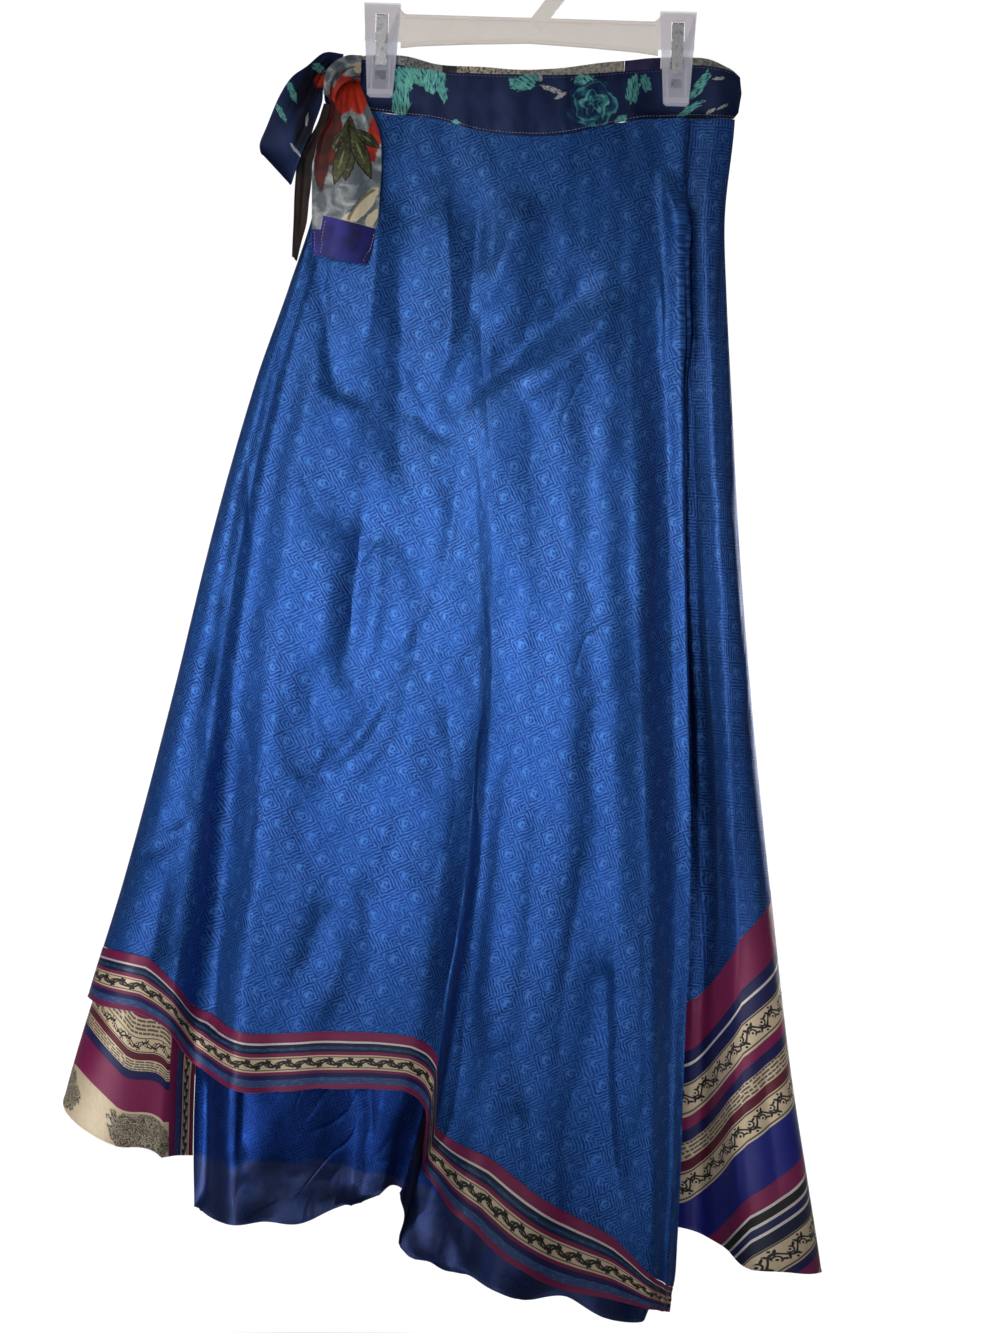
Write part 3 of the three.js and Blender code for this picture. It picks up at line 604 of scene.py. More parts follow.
@effect("Along Down Radius Petals", "Petal Line Cover")
def rose_bloom(graph: Graph, along: Port, down: Port, radius: Port, petals: Port) -> tuple[Port, ...]:
    """A full rose seen from above. Its petals are bands of distance, bent by angle and noise.

    Args:
        graph: The group's graph.
        along: Place along from the centre, in metres.
        down: Place down from the centre, in metres.
        radius: The rose's radius, in metres.
        petals: How many petals go round.

    Returns:
        How light a petal is, the drawn edge between two petals, and where the bloom is at all.
    """
    x, y = along / radius, down / radius
    ragged = graph.noise((x, y), 2.6, 3) - 0.5
    angle = graph.math("ARCTAN2", y, x)
    far = (x * x + y * y).root() + ragged * 0.35
    scallop = (angle * petals + far * 5).sine()
    depth = far * 3.1 + scallop * 0.28 + angle / math.tau
    petal = depth.part() * 0.7 + ragged * 0.8 + 0.25
    return petal, depth.zigzag().rise(0.62, 0.9), (far + scallop * 0.1).rise(1.02, 0.9)


@effect("Along Down Size", "Ink Ragged")
def arabesque(graph: Graph, along: Port, down: Port, size: Port) -> tuple[Port, Port]:
    """A lace of curling lines, for the printed hem of an end piece.

    Args:
        graph: The group's graph.
        along: Place along the cloth, in metres.
        down: Place down the cloth, in metres.
        size: Size of a curl, in metres.

    Returns:
        Ink on the level lines of two noises, and a third noise for a ragged edge.
    """
    place = graph.join(along / size, down / size)
    curls = (graph.noise(place, 1.5, 1, 2.5) * 5).zigzag().rise(0.5, 0.7)
    fine = (graph.noise(place, 3.4, 1, 1.2) * 4).zigzag().rise(0.66, 0.86)
    return curls.most(fine), graph.noise(place, 2.6, 3)


@effect("Along Across Pitch", "Ink")
def dashes(graph: Graph, along: Port, across: Port, pitch: Port) -> tuple[Port]:
    """Thin broken lines of ink on a narrow band across, cut along it by a wave and noise."""
    broken = (along / pitch).zigzag() + graph.noise((along, 0.0), 90, 2)
    return (abs(across).rise(1.0, 0.3) * broken.rise(0.55, 0.75),)


@effect("Along Down Seed", "Cover Shade")
def brushed_petal(graph: Graph, along: Port, down: Port, seed: Port) -> tuple[Port, Port]:
    """One brushed petal or leaf, about its middle.

    Args:
        graph: The group's graph.
        along: Place along it, as a share of its half length.
        down: Place across it, as a share of its half width.
        seed: A number that makes each petal's edge its own.

    Returns:
        Where it covers, a ragged ellipse with dry brush marks, and its streaks of light.
    """
    rough = graph.noise((along + seed, down - seed), 1.9, 4)
    streaks = graph.noise((along * 2.4 + down + seed, down * 0.7), 2.4, 3)
    far = (along * along + down * down).root() + (rough - 0.5) * 1.5
    return far.rise(1.0, 0.86) * streaks.rise(0.36, 0.46), streaks.rise(0.38, 0.66)


# ---------------- finishes
ROYAL = srgb(22, 80, 162)
ROYAL_DEEP = srgb(8, 36, 98)
ROYAL_LIGHT = srgb(74, 136, 214)
MAGENTA = srgb(136, 30, 84)
MAROON = srgb(104, 20, 44)
CREAM = srgb(228, 208, 176)
CHALK = srgb(232, 226, 220)
NAVY = srgb(22, 26, 88)
NAVY_DEEP = srgb(14, 20, 58)
TEAL_NAVY = srgb(24, 66, 104)
SLATE = srgb(52, 78, 132)
BRIGHT_NAVY = srgb(24, 34, 132)
INK = srgb(30, 24, 24)
SILK_SHEEN = {
    "Metallic": 0.6,
    "Sheen Weight": 0.1,
    "Sheen Roughness": 0.4,
    "Anisotropic": 0.4,
    "Specular IOR Level": 0.4,
}
TRIM_SHEEN = {"Metallic": 0.12, "Sheen Weight": 0.2, "Sheen Roughness": 0.4, "Specular IOR Level": 0.4}
# Where the light starts to show through the under layer's hem, in metres.
LIT_HEM_Z = -0.934


class Surface:
    """A material being dressed: its graph, and the Principled shader that it ends in."""

    def __init__(self, name: str, constants: dict[str, float]) -> None:
        """Starts a material.

        Args:
            name: The material's name.
            constants: Values set directly on the shader, by the shader's own labels.
        """
        self.material = bpy.data.materials.new(name)
        self.material.use_nodes = True
        tree = self.material.node_tree
        tree.nodes.clear()
        self.graph = Graph(tree)
        self.shader = self.graph.add("ShaderNodeBsdfPrincipled")
        leave = self.graph.add("ShaderNodeOutputMaterial")
        tree.links.new(self.shader.outputs["BSDF"], leave.inputs["Surface"])
        for label, value in constants.items():
            self.shader.inputs[label].default_value = value

    def finish(self, colour: Port, rough: Port, height: Port, depth: float) -> bpy.types.Material:
        """Feeds the shader.

        Args:
            colour: Base colour.
            rough: Roughness.
            height: Height of the small relief, about 0 to 1.
            depth: What a height of 1 stands for, in metres.

        Returns:
            The finished material.
        """
        relief = {"Height": height, "Distance": depth, "Strength": 1.0}
        normal = self.graph.port("ShaderNodeBump", relief)
        for label, value in (("Base Color", colour), ("Roughness", rough), ("Normal", normal)):
            self.graph.feed(self.shader.inputs[label], value)
        return self.material


@dataclass(frozen=True)
class ChequerSilk:
    """Royal blue satin silk with a tone-on-tone chequer of nested squares and corners.

    turn is the chequer's, in degrees. cell and thread are spacings in millimetres. thin is for
    the layer whose hem the light shines through.
    """

    name: str
    turn: float
    cell: float = 17.4
    thread: float = 0.42
    ground: Colour = ROYAL
    line: Colour = ROYAL_LIGHT
    shade: Colour = ROYAL_DEEP
    contrast: float = 1.0
    gloss: float = 0.6
    thin: bool = False

    def build(self) -> bpy.types.Material:
        """Dresses the silk: dark and light lines over the ground, worn away in clouds.

        Returns:
            The finished material.
        """
        surface = Surface(self.name, SILK_SHEEN | {"Metallic": self.gloss})
        graph = surface.graph
        along, down = graph.cloth_place()
        weave = graph.place(silk_weave(), along=along, down=down, thread=self.thread * MM)
        creases = graph.place(pressed_lines(), along=along, down=down)["Height"]
        turn = math.radians(self.turn)
        pattern = graph.place(chequer_print(), along=along, down=down, cell=self.cell * MM, turn=turn)
        lines = pattern["Lines"]
        worn = (graph.noise((along, down), 24, 4).rise(0.36, 0.64) * 0.4 + 0.6) * self.contrast
        worn = worn * (graph.noise((along, down), 260, 2).rise(0.36, 0.6) * 0.35 + 0.65)
        grain = weave["Grain"]
        colour = graph.mix(lines.rise(0.66, 0.12) * worn, self.ground, self.shade)
        for share in (
            lines.rise(0.5, 0.96) * worn * 0.55,
            pattern["Heart"] * worn * 0.2,
            grain.rise(0.5, 0.68) * 0.3 * self.contrast,
        ):
            colour = graph.mix(share, colour, self.line)
        colour = graph.mix(grain.rise(0.5, 0.34) * 0.55, colour, self.shade)
        if self.thin:
            colour = self.lit_through(graph, colour)
        rough = 0.8 - self.gloss * 0.5 + weave["Shine"] * 0.1 - lines * 0.03
        height = weave["Height"] + lines * 0.1 + creases * 26
        return surface.finish(colour, rough, height, depth=0.00022)

    def lit_through(self, graph: Graph, colour: Port) -> Port:
        """Greys the last of the hem, where a single layer lets the light behind it through.

        Args:
            graph: The material's graph.
            colour: The silk's colour.

        Returns:
            The colour with the lit strip in it.
        """
        place = graph.object_place()
        x, _, z = graph.split(place)
        starts = LIT_HEM_Z - (x + 0.11).most(0) * 0.32
        lit = (starts - z + graph.noise(place, 24, 3) * 0.03).rise(0, 0.006)
        folded = abs(graph.noise(place, 20, 2, 1.5) - 0.5).rise(0.0, 0.05) * 0.4 + 0.6
        return graph.mix(lit * folded * 0.6, colour, srgb(70, 78, 112))


class Pattern(Enum):
    """What is printed on a stripe over its plain colour."""

    PLAIN = "plain"
    VINE = "vine"
    DASHES = "dashes"
    FLECKS = "flecks"


@dataclass(frozen=True)
class Stripe:
    """One stripe of a trim: its width in millimetres, its colour and its print."""

    width: float
    colour: Colour
    pattern: Pattern = Pattern.PLAIN


BORDER_STRIPES = (
    Stripe(7.2, MAGENTA), Stripe(1.5, CHALK), Stripe(2.6, NAVY_DEEP),
    Stripe(2.2, TEAL_NAVY, Pattern.FLECKS), Stripe(1.9, NAVY_DEEP), Stripe(2.6, MAGENTA),
    Stripe(11.5, CREAM, Pattern.VINE), Stripe(2.2, MAGENTA), Stripe(3.6, NAVY),
    Stripe(5.2, SLATE, Pattern.FLECKS), Stripe(4.0, MAGENTA),
)
RIGHT_END_STRIPES = (
    Stripe(37, MAGENTA), Stripe(9, NAVY), Stripe(2.2, CHALK), Stripe(13, NAVY),
    Stripe(25, CREAM, Pattern.VINE), Stripe(10, MAGENTA), Stripe(9, NAVY),
    Stripe(14.5, CREAM, Pattern.DASHES), Stripe(8, MAROON), Stripe(23, CREAM, Pattern.VINE),
    Stripe(38, BRIGHT_NAVY), Stripe(14, MAGENTA), Stripe(2, CHALK), Stripe(8, INK), Stripe(2, CHALK),
    Stripe(6, NAVY), Stripe(2, CHALK), Stripe(9, NAVY_DEEP), Stripe(24, CREAM, Pattern.VINE),
    Stripe(6, NAVY), Stripe(12, MAGENTA), Stripe(24, CREAM, Pattern.DASHES),
)
# The strip down the left end piece's seam, towards the under layer.
SEAM_STRIPES = (
    Stripe(6.5, MAGENTA), Stripe(4.5, SLATE, Pattern.FLECKS), Stripe(1.5, MAROON),
    Stripe(7.5, CREAM, Pattern.VINE), Stripe(3, MAROON),
)
# Upwards from the hem, which is printed with lace.
LEFT_END_STRIPES = (
    Stripe(26, CREAM), Stripe(24, MAGENTA), Stripe(6.5, NAVY), Stripe(8, CREAM, Pattern.DASHES),
    Stripe(5, MAROON), Stripe(13, CREAM, Pattern.VINE), Stripe(13, CREAM, Pattern.DASHES),
    Stripe(24, MAGENTA), Stripe(30, NAVY),
)


def striped(graph: Graph, along: Port, across: Port, stripes: Sequence[Stripe], rise: float = 1.0) -> Port:
    """The colour of a striped and printed trim.

    Args:
        graph: The graph that it is drawn in.
        along: Place along the stripes, in metres.
        across: Place across the stripes, in millimetres from the first.
        stripes: The stripes in order.
        rise: Widths on the cloth as a share of widths in the table, for stripes that slant.

    Returns:
        The colour.
    """
    colour = graph.stripes(across, [(stripe.width, stripe.colour) for stripe in stripes])
    start = 0.0
    for stripe in stripes:
        half = stripe.width / 2
        share = (across - (start + half)) / half
        inside = abs(share).rise(1.02, 0.98)
        wide = stripe.width * rise
        start += stripe.width
        if stripe.pattern is Pattern.VINE:
            edge = 3.0 / wide
            line, pitch = (1.0, 1.35) if wide < 12 else (0.55, 1.0)
            spread = share * (1 + edge)
            vine = graph.place(scroll_vine(), along=along, across=spread, pitch=wide * pitch * MM, line=line)
            rule = abs(abs(share) - (1 - edge)).rise(0.09, 0.03)
            colour = graph.mix(inside * vine["Ink"].most(rule * 0.9), colour, INK)
        elif stripe.pattern is Pattern.DASHES:
            wobble = (graph.noise((along, 0.0), 70, 2) - 0.5) * 0.5
            for place, pitch in ((-0.7, 3.1), (-0.24, 9.3), (0.22, 3.7), (0.7, 7.7)):
                offset = (share - place + wobble) / 0.2
                ink = graph.place(dashes(), along=along, across=offset, pitch=pitch * MM)["Ink"]
                colour = graph.mix(inside * ink * 0.85, colour, INK)
        elif stripe.pattern is Pattern.FLECKS:
            light = graph.noise((along, across * MM * 3), 210, 3).rise(0.45, 0.75)
            colour = graph.mix(inside * light * 0.55, colour, ROYAL_LIGHT)
    return colour


@dataclass(frozen=True)
class WornCloth:
    """A printed or woven cloth. Each kind says what its colour is, and all share one worn weave."""

    name: str
    sheen: ClassVar[dict[str, float]] = SILK_SHEEN
    thread: ClassVar[float] = 0.4

    def colour(self, graph: Graph) -> Port:
        """The cloth's own colour."""
        raise NotImplementedError

    def build(self) -> bpy.types.Material:
        """Dresses the cloth, with its weave in its height, its tone and its shine.

        Returns:
            The finished material.
        """
        surface = Surface(self.name, self.sheen)
        graph = surface.graph
        along, down = graph.cloth_place()
        weave = graph.place(silk_weave(), along=along, down=down, thread=self.thread * MM)
        toned = graph.mix((weave["Tone"] - 0.35).most(0) * 0.5, self.colour(graph), NAVY_DEEP)
        return surface.finish(toned, 0.4 + weave["Shine"] * 0.16, weave["Height"], depth=0.0002)


@dataclass(frozen=True)
class Trim(WornCloth):
    """A woven trim of the skirt, less glossy than its silk."""

    sheen: ClassVar[dict[str, float]] = TRIM_SHEEN
    thread: ClassVar[float] = 0.42

    def bands(self, graph: Graph, stripes: Sequence[Stripe], rise: float = 1.0) -> Port:
        """The colour of stripes that run along the cloth, their edges a little unsteady.

        Args:
            graph: The material's graph.
            stripes: The stripes in order.
            rise: Widths on the cloth as a share of widths in the table.

        Returns:
            The colour.
        """
        along, down = graph.cloth_place()
        unsteady = (graph.noise((along, down), 38, 2) - 0.5) * 0.9
        return striped(graph, along, down / MM + unsteady, stripes, rise)


@dataclass(frozen=True)
class StripedTrim(Trim):
    """A woven and printed striped trim, whose stripes follow the seam over them."""

    stripes: tuple[Stripe, ...]
    rise: float = 1.0

    def colour(self, graph: Graph) -> Port:
        """The stripes."""
        return self.bands(graph, self.stripes, self.rise)


@dataclass(frozen=True)
class Patch:
    """A printed mark on a face of the cloth, in millimetres on the X and Z axes.

    half holds its half length and half width, and lean how far its length turns from X, in
    degrees.
    """

    at: tuple[float, float]
    half: tuple[float, float]
    lean: float = 0.0

    def shares(self, x: Port, z: Port) -> tuple[Port, Port]:
        """Turns a place into the mark's own axes.

        Args:
            x: The place on X.
            z: The place on Z.

        Returns:
            The place along and across the mark, as shares of its half sizes.
        """
        turn = math.radians(self.lean)
        dx, dz = x - self.at[0], z - self.at[1]
        along = (dx * math.cos(turn) + dz * math.sin(turn)) / self.half[0]
        across = (dz * math.cos(turn) - dx * math.sin(turn)) / self.half[1]
        return along, across

    def soft(self, x: Port, z: Port, ragged: Port, edge: float = 0.18) -> Port:
        """The inside of the mark's ellipse, with an edge made uneven by a noise.

        Args:
            x: The place on X.
            z: The place on Z.
            ragged: The noise.
            edge: How soft the edge is.

        Returns:
            1 inside, 0 outside.
        """
        along, across = self.shares(x, z)
        far = (along * along + across * across).root() + (ragged - 0.5) * 0.7
        return far.rise(1 + edge / 2, 1 - edge / 2)

    def leaf(self, x: Port, z: Port) -> Port:
        """Depth inside a leaf that is pointed at both ends: over 0 inside, 1 on its midrib."""
        along, across = self.shares(x, z)
        return 1 - along * along - abs(across)


@dataclass(frozen=True)
class LeftEndPiece(Trim):
    """The striped end piece at the left, with lace at its hem and a border down its seam.

    Its place down the cloth is read as height over the hem. lace is how high the lace goes.
    """

    lace: float = 25.0
    medallions: tuple[Patch, ...] = (
        Patch((-46, 11), (25, 17)), Patch((-121, 10), (22, 15)), Patch((-190, 11), (24, 16)),
    )

    def colour(self, graph: Graph) -> Port:
        """The stripes, the medallions of lace over them, and the seam's border over both.

        Args:
            graph: The material's graph.

        Returns:
            The colour.
        """
        along, over = graph.cloth_place()
        colour = self.bands(graph, LEFT_END_STRIPES)
        lace = graph.place(arabesque(), along=along, down=over, size=13 * MM)
        hem = (over / MM).rise(self.lace, self.lace - 1)
        for medallion in self.medallions:
            inside = medallion.soft(along / MM, over / MM, lace["Ragged"], 0.06) * hem
            colour = graph.mix(inside * 0.45, colour, srgb(112, 108, 96))
            colour = graph.mix(inside * lace["Ink"] * 0.85, colour, srgb(40, 38, 36))
        across = along / MM + sum(stripe.width for stripe in SEAM_STRIPES)
        return graph.mix(across.rise(-0.2, 0.2), colour, striped(graph, over, across, SEAM_STRIPES))


TEAL = srgb(62, 150, 160)
MINT = srgb(122, 202, 194)
TEAL_DEEP = srgb(30, 92, 130)
MIDNIGHT = srgb(16, 36, 80)
OLIVE = srgb(78, 88, 44)
OLIVE_LIGHT = srgb(158, 164, 118)
FLAME = srgb(206, 52, 26)
BLOOD = srgb(120, 20, 18)
ASH = srgb(160, 172, 184)
ASH_DARK = srgb(100, 114, 126)
BONE = srgb(230, 222, 194)


@dataclass(frozen=True)
class Bloom:
    """A rose of the waistband: where its middle is, its radius and how its petals fall."""

    at: tuple[float, float]
    radius: float
    petals: float

    def drawn(self, graph: Graph, x: Port, z: Port, ragged: Port) -> tuple[Port, Port]:
        """Brushes the rose, light petals over dark ones with a drawn edge between two.

        Args:
            graph: The material's graph.
            x: The place on X.
            z: The place on Z.
            ragged: A noise that breaks up the brush marks.

        Returns:
            Where the rose is, and its colour.
        """
        along, down = (x - self.at[0]) * MM, (z - self.at[1]) * MM
        rose = graph.place(rose_bloom(), along=along, down=down, radius=self.radius * MM, petals=self.petals)
        brushed = (rose["Petal"] + (ragged - 0.5) * 1.3).rise(0.5, 0.78)
        petal = graph.mix(ragged.rise(0.4, 0.62), srgb(22, 52, 100), TEAL_DEEP)
        petal = graph.mix(brushed, petal, TEAL)
        petal = graph.mix(rose["Petal"].rise(0.72, 0.95) * ragged.rise(0.42, 0.56), petal, MINT)
        return rose["Cover"], graph.mix(rose["Line"] * ragged.rise(0.62, 0.44), petal, MIDNIGHT)


@dataclass(frozen=True)
class RoseBand(WornCloth):
    """Navy satin with teal roses, brushed and pale petals, and red marks and painted shade under them."""

    blooms: tuple[Bloom, ...] = ()
    brushed: tuple[Patch, ...] = ()
    pale: tuple[Patch, ...] = ()
    dark: tuple[Patch, ...] = ()
    red: tuple[Patch, ...] = ()

    def colour(self, graph: Graph) -> Port:
        """The painted shade, the red marks, the petals and the roses over clouded navy. The last two face
        forward.

        Args:
            graph: The material's graph.

        Returns:
            The colour.
        """
        place = graph.object_place()
        x, y, z = graph.split(place)
        front = y.rise(0.004, 0.0)
        x, z = x / MM, z / MM
        colour = graph.mix(graph.noise(place, 42, 3).rise(0.42, 0.7) * 0.8, MIDNIGHT, srgb(30, 52, 100))
        ragged = graph.noise(place, 150, 3)
        # The dark marks are painted shade; the red ones are print.
        for marks, tint in ((self.dark, srgb(16, 16, 38)), (self.red, srgb(176, 50, 34))):
            for mark in marks:
                colour = graph.mix(mark.soft(x, z, ragged, 0.7), colour, tint)
        for number, mark in enumerate(self.brushed + self.pale):
            along, across = mark.shares(x, z)
            petal = graph.place(brushed_petal(), along=along, down=across, seed=number * 3.7)
            tints = (TEAL, MINT) if number < len(self.brushed) else (srgb(120, 150, 170), CHALK)
            colour = graph.mix(petal["Cover"] * front, colour, graph.mix(petal["Shade"], *tints))
        for bloom in self.blooms:
            cover, petals = bloom.drawn(graph, x, z, ragged)
            colour = graph.mix(cover * front, colour, petals)
        return colour


@dataclass(frozen=True)
class Length:
    """A length of the inner band: where it ends on X, in millimetres, its colour and its speckle."""

    end: float
    colour: Colour
    speckle: Colour


@dataclass(frozen=True)
class PiecedBand(WornCloth):
    """Lengths of different speckled cloth joined end to end along X."""

    lengths: tuple[Length, ...]
    sheen: ClassVar[dict[str, float]] = TRIM_SHEEN

    def colour(self, graph: Graph) -> Port:
        """Each length's colour up to where it ends, mottled as one.

        Args:
            graph: The material's graph.

        Returns:
            The colour.
        """
        place = graph.object_place()
        x = graph.split(place)[0] / MM
        speckle = graph.noise(place, 520, 4).rise(0.44, 0.62)
        colour = graph.mix(speckle, self.lengths[0].colour, self.lengths[0].speckle)
        for before, length in zip(self.lengths, self.lengths[1:]):
            next_colour = graph.mix(speckle, length.colour, length.speckle)
            colour = graph.mix(x.rise(before.end - 0.3, before.end + 0.3), colour, next_colour)
        return graph.mix(graph.noise(place, 120, 3).rise(0.4, 0.66) * 0.35, colour, ASH_DARK)


@dataclass(frozen=True)
class LeafTie(WornCloth):
    """Grey silk of the tie, printed with a red flower and an olive leaf of several lobes.

    reds are lit petals and shades the dark ones behind them. bones are cream patches, lobes the
    leaf's own, and lines thin bowed strokes of ink.
    """

    reds: tuple[Patch, ...]
    shades: tuple[Patch, ...]
    bones: tuple[Patch, ...]
    lobes: tuple[Patch, ...]
    lines: tuple[Patch, ...]
    sheen: ClassVar[dict[str, float]] = SILK_SHEEN | {"Metallic": 0.1}

    def colour(self, graph: Graph) -> Port:
        """The cream, the strokes, the flower and the leaf over clouded grey, in that order.

        Args:
            graph: The material's graph.

        Returns:
            The colour.
        """
        place = graph.object_place()
        x, _, z = graph.split(place)
        x, z = x / MM, z / MM
        cloud = graph.noise(place, 85, 4, 0.8)
        ragged = graph.noise(place, 170, 3)
        fine = graph.noise(place, 420, 3)
        slow = graph.noise(place, 60, 2)
        colour = graph.mix(cloud.rise(0.42, 0.6), ASH_DARK, ASH)
        colour = graph.mix(cloud.rise(0.54, 0.7) * 0.8, colour, srgb(212, 220, 224))
        for mark in self.bones:
            colour = graph.mix(mark.soft(x, z, ragged, 0.1), colour, BONE)
        for mark in self.lines:
            along, across = mark.shares(x, z)
            bow = across + along * along * 1.6
            line = abs(bow).rise(0.9, 0.3) * abs(along).rise(1, 0.8)
            colour = graph.mix(line * 0.75, colour, INK)
        behind = graph.mix(slow.rise(0.4, 0.6), BLOOD, srgb(64, 14, 16))
        lit = graph.mix(slow.rise(0.44, 0.6), FLAME, srgb(168, 34, 22))
        for marks, red in ((self.shades, behind), (self.reds, lit)):
            for mark in marks:
                colour = graph.mix(mark.soft(x, z, ragged), colour, red)
        for mark in self.lobes:
            depth = mark.leaf(x, z) + (fine - 0.5) * 0.3
            rib = (1 - depth).rise(0.24, 0.06)
            green = graph.mix(cloud.rise(0.4, 0.62), OLIVE, srgb(46, 54, 28))
            green = graph.mix((depth * 5.2).zigzag().rise(0.66, 0.95) * 0.7, green, srgb(26, 32, 18))
            green = graph.mix(rib.most((fine - 0.56) * 6) * 0.75, green, OLIVE_LIGHT)
            green = graph.mix(depth.rise(0.3, 0.12), green, srgb(22, 24, 16))
            colour = graph.mix(depth.rise(0.0, 0.05), colour, green)
        return colour


@dataclass(frozen=True)
class PlainSilk(WornCloth):
    """One colour of silk with slow changes in it towards a second."""

    ground: Colour
    change: Colour

    def colour(self, graph: Graph) -> Port:
        """The two colours, in clouds."""
        cloud = graph.noise(graph.object_place(), 60, 4)
        return graph.mix(cloud.rise(0.38, 0.68), self.ground, self.change)


@dataclass(frozen=True)
class Thread:
    """Twisted sewing thread."""

    name: str
    colour: Colour

    def build(self) -> bpy.types.Material:
        """Dresses the thread, whose twist is a fine noise.

        Returns:
            The finished material.
        """
        surface = Surface(self.name, {"Sheen Weight": 0.3, "Specular IOR Level": 0.35})
        graph = surface.graph
        twist = graph.noise(graph.object_place(), 2600, 2)
        colour = graph.mix(twist * 0.3, self.colour, srgb(150, 150, 176))
        return surface.finish(colour, twist * 0.2 + 0.55, twist, depth=0.00008)


@dataclass(frozen=True)
class FrostedPlastic:
    """Clear moulded plastic, slightly frosted, with flow marks and fine scratches.

    Its faint glow stands for light that is led through the plastic.
    """

    name: str
    tint: Colour
    alpha: float
    glow: float

    def build(self) -> bpy.types.Material:
        """Dresses the plastic.

        Returns:
            The finished material.
        """
        constants = {
            "Alpha": self.alpha,
            "IOR": 1.47,
            "Specular IOR Level": 0.6,
            "Subsurface Weight": 0.2,
            "Subsurface Scale": 0.002,
            "Emission Color": (*self.tint, 1),
            "Emission Strength": self.glow,
        }
        surface = Surface(self.name, constants)
        graph = surface.graph
        place = graph.object_place()
        flow = graph.noise(place, 70, 3, 0.6)
        x, y, z = graph.split(place)
        scratch = graph.noise((x * 0.4 + y, z), 2400, 2).rise(0.62, 0.72)
        colour = graph.mix(flow * 0.3, self.tint, srgb(246, 242, 238))
        rough = flow * 0.14 + scratch * 0.12 + 0.16
        return surface.finish(colour, rough, flow * 0.8 + scratch * 0.1, depth=0.00012)


@dataclass(frozen=True)
class SpringSteel:
    """Bright rolled spring steel, brushed along its length, with darker spots of wear."""

    name: str

    def build(self) -> bpy.types.Material:
        """Dresses the steel.

        Returns:
            The finished material.
        """
        surface = Surface(self.name, {"Metallic": 1.0, "Anisotropic": 0.5})
        graph = surface.graph
        place = graph.object_place()
        x, y, z = graph.split(place)
        brushed = graph.noise((x * 6 + y, z * 0.3), 700, 2)
        spots = graph.noise(place, 260, 3).rise(0.56, 0.72)
        colour = graph.mix(brushed * 0.4, srgb(206, 208, 212), srgb(160, 160, 164))
        colour = graph.mix(spots * 0.35, colour, srgb(96, 86, 78))
        return surface.finish(colour, brushed * 0.15 + spots * 0.2 + 0.2, brushed, depth=0.00003)


# ---------------- the skirt's form
WAIST_Z, KNEE_Z, HEM_Z = -140.0, -570.0, -1000.0
SEAM_GAP = 0.5


def through(values: Triple, share: np.ndarray) -> np.ndarray:
    """The parabola through three values.

    Args:
        values: Its values at the waist, the knee and the hem, at shares 0, 1/2 and 1.
        share: Where to read it.

    Returns:
        The parabola's values there.
    """
    a, b, c = values
    square = share * share
    return a * (2 * square - 3 * share + 1) + b * (4 * share - 4 * square) + c * (2 * square - share)


class Side(Enum):
    """A side fold of the skirt."""

    LEFT = "left"
    RIGHT = "right"


class Face(Enum):
    """A face of the skirt."""

    FRONT = "front"
    BACK = "back"


@dataclass(frozen=True)
class Outline:
    """The two side folds seen from the front, in millimetres."""

    heights: tuple[float, ...] = (-90, -140, -205, -265, -340, -450, -580, -720, -840, -925, -1000)
    left: tuple[float, ...] = (-149, -150, -157, -174, -198, -226, -254, -287, -321, -343, -360)
    right: tuple[float, ...] = (156, 155.5, 150.5, 153.5, 159.5, 168.5, 182.5, 201, 218, 233.5, 248)

    def at(self, side: Side, z: np.ndarray) -> np.ndarray:
        """X of a side fold at heights z."""
        return table_curve([-height for height in self.heights], getattr(self, side.value))(-z)


@dataclass(frozen=True)
class WaistEdges:
    """Waist seam and upper edge of the band, front and back, as heights along X."""

    x: tuple[float, ...] = (-155, -124, -96, -66, -36, -5, 25, 54, 84, 98, 123, 138, 150, 156)
    seam_front: tuple[float, ...] = (
        -134.5, -135, -138, -141.6, -149.3, -152, -150.2, -143, -136, -135, -133.4, -133.2, -133.2, -133.2,
    )
    seam_back: tuple[float, ...] = (
        -134.5, -135, -136.5, -138, -139.5, -140, -139.5, -138, -136, -135, -134, -133.4, -133.2, -133.2,
    )
    top_front: tuple[float, ...] = (
        -98, -97, -100, -105, -105.9, -105.9, -105.2, -102.4, -98.8, -97.2, -93.6, -94.6, -98, -102,
    )
    top_back: tuple[float, ...] = (
        -98, -93.5, -92.5, -97.6, -98, -99.2, -97, -92.4, -89.4, -88.4, -87.4, -89, -95.5, -102,
    )

    def curve(self, edge: str) -> Curve:
        """An edge's height as a function of X."""
        return table_curve(self.x, getattr(self, edge))


@dataclass(frozen=True)
class Fold:
    """A fold line of a layer, from the waist to the hem.

    x and y are its place at the waist, the knee and the hem. A side fold follows the outline
    instead of x, drawn in from it by drawn. join and edge are the heights where the silk meets
    its trim and where the trim ends, and hem where an under layer ends.
    """

    name: str
    x: Triple
    y: Triple
    join: float = 0.0
    edge: float = 0.0
    side: Side | None = None
    drawn: Triple = (0.0, 0.0, 0.0)
    hem: float = 0.0


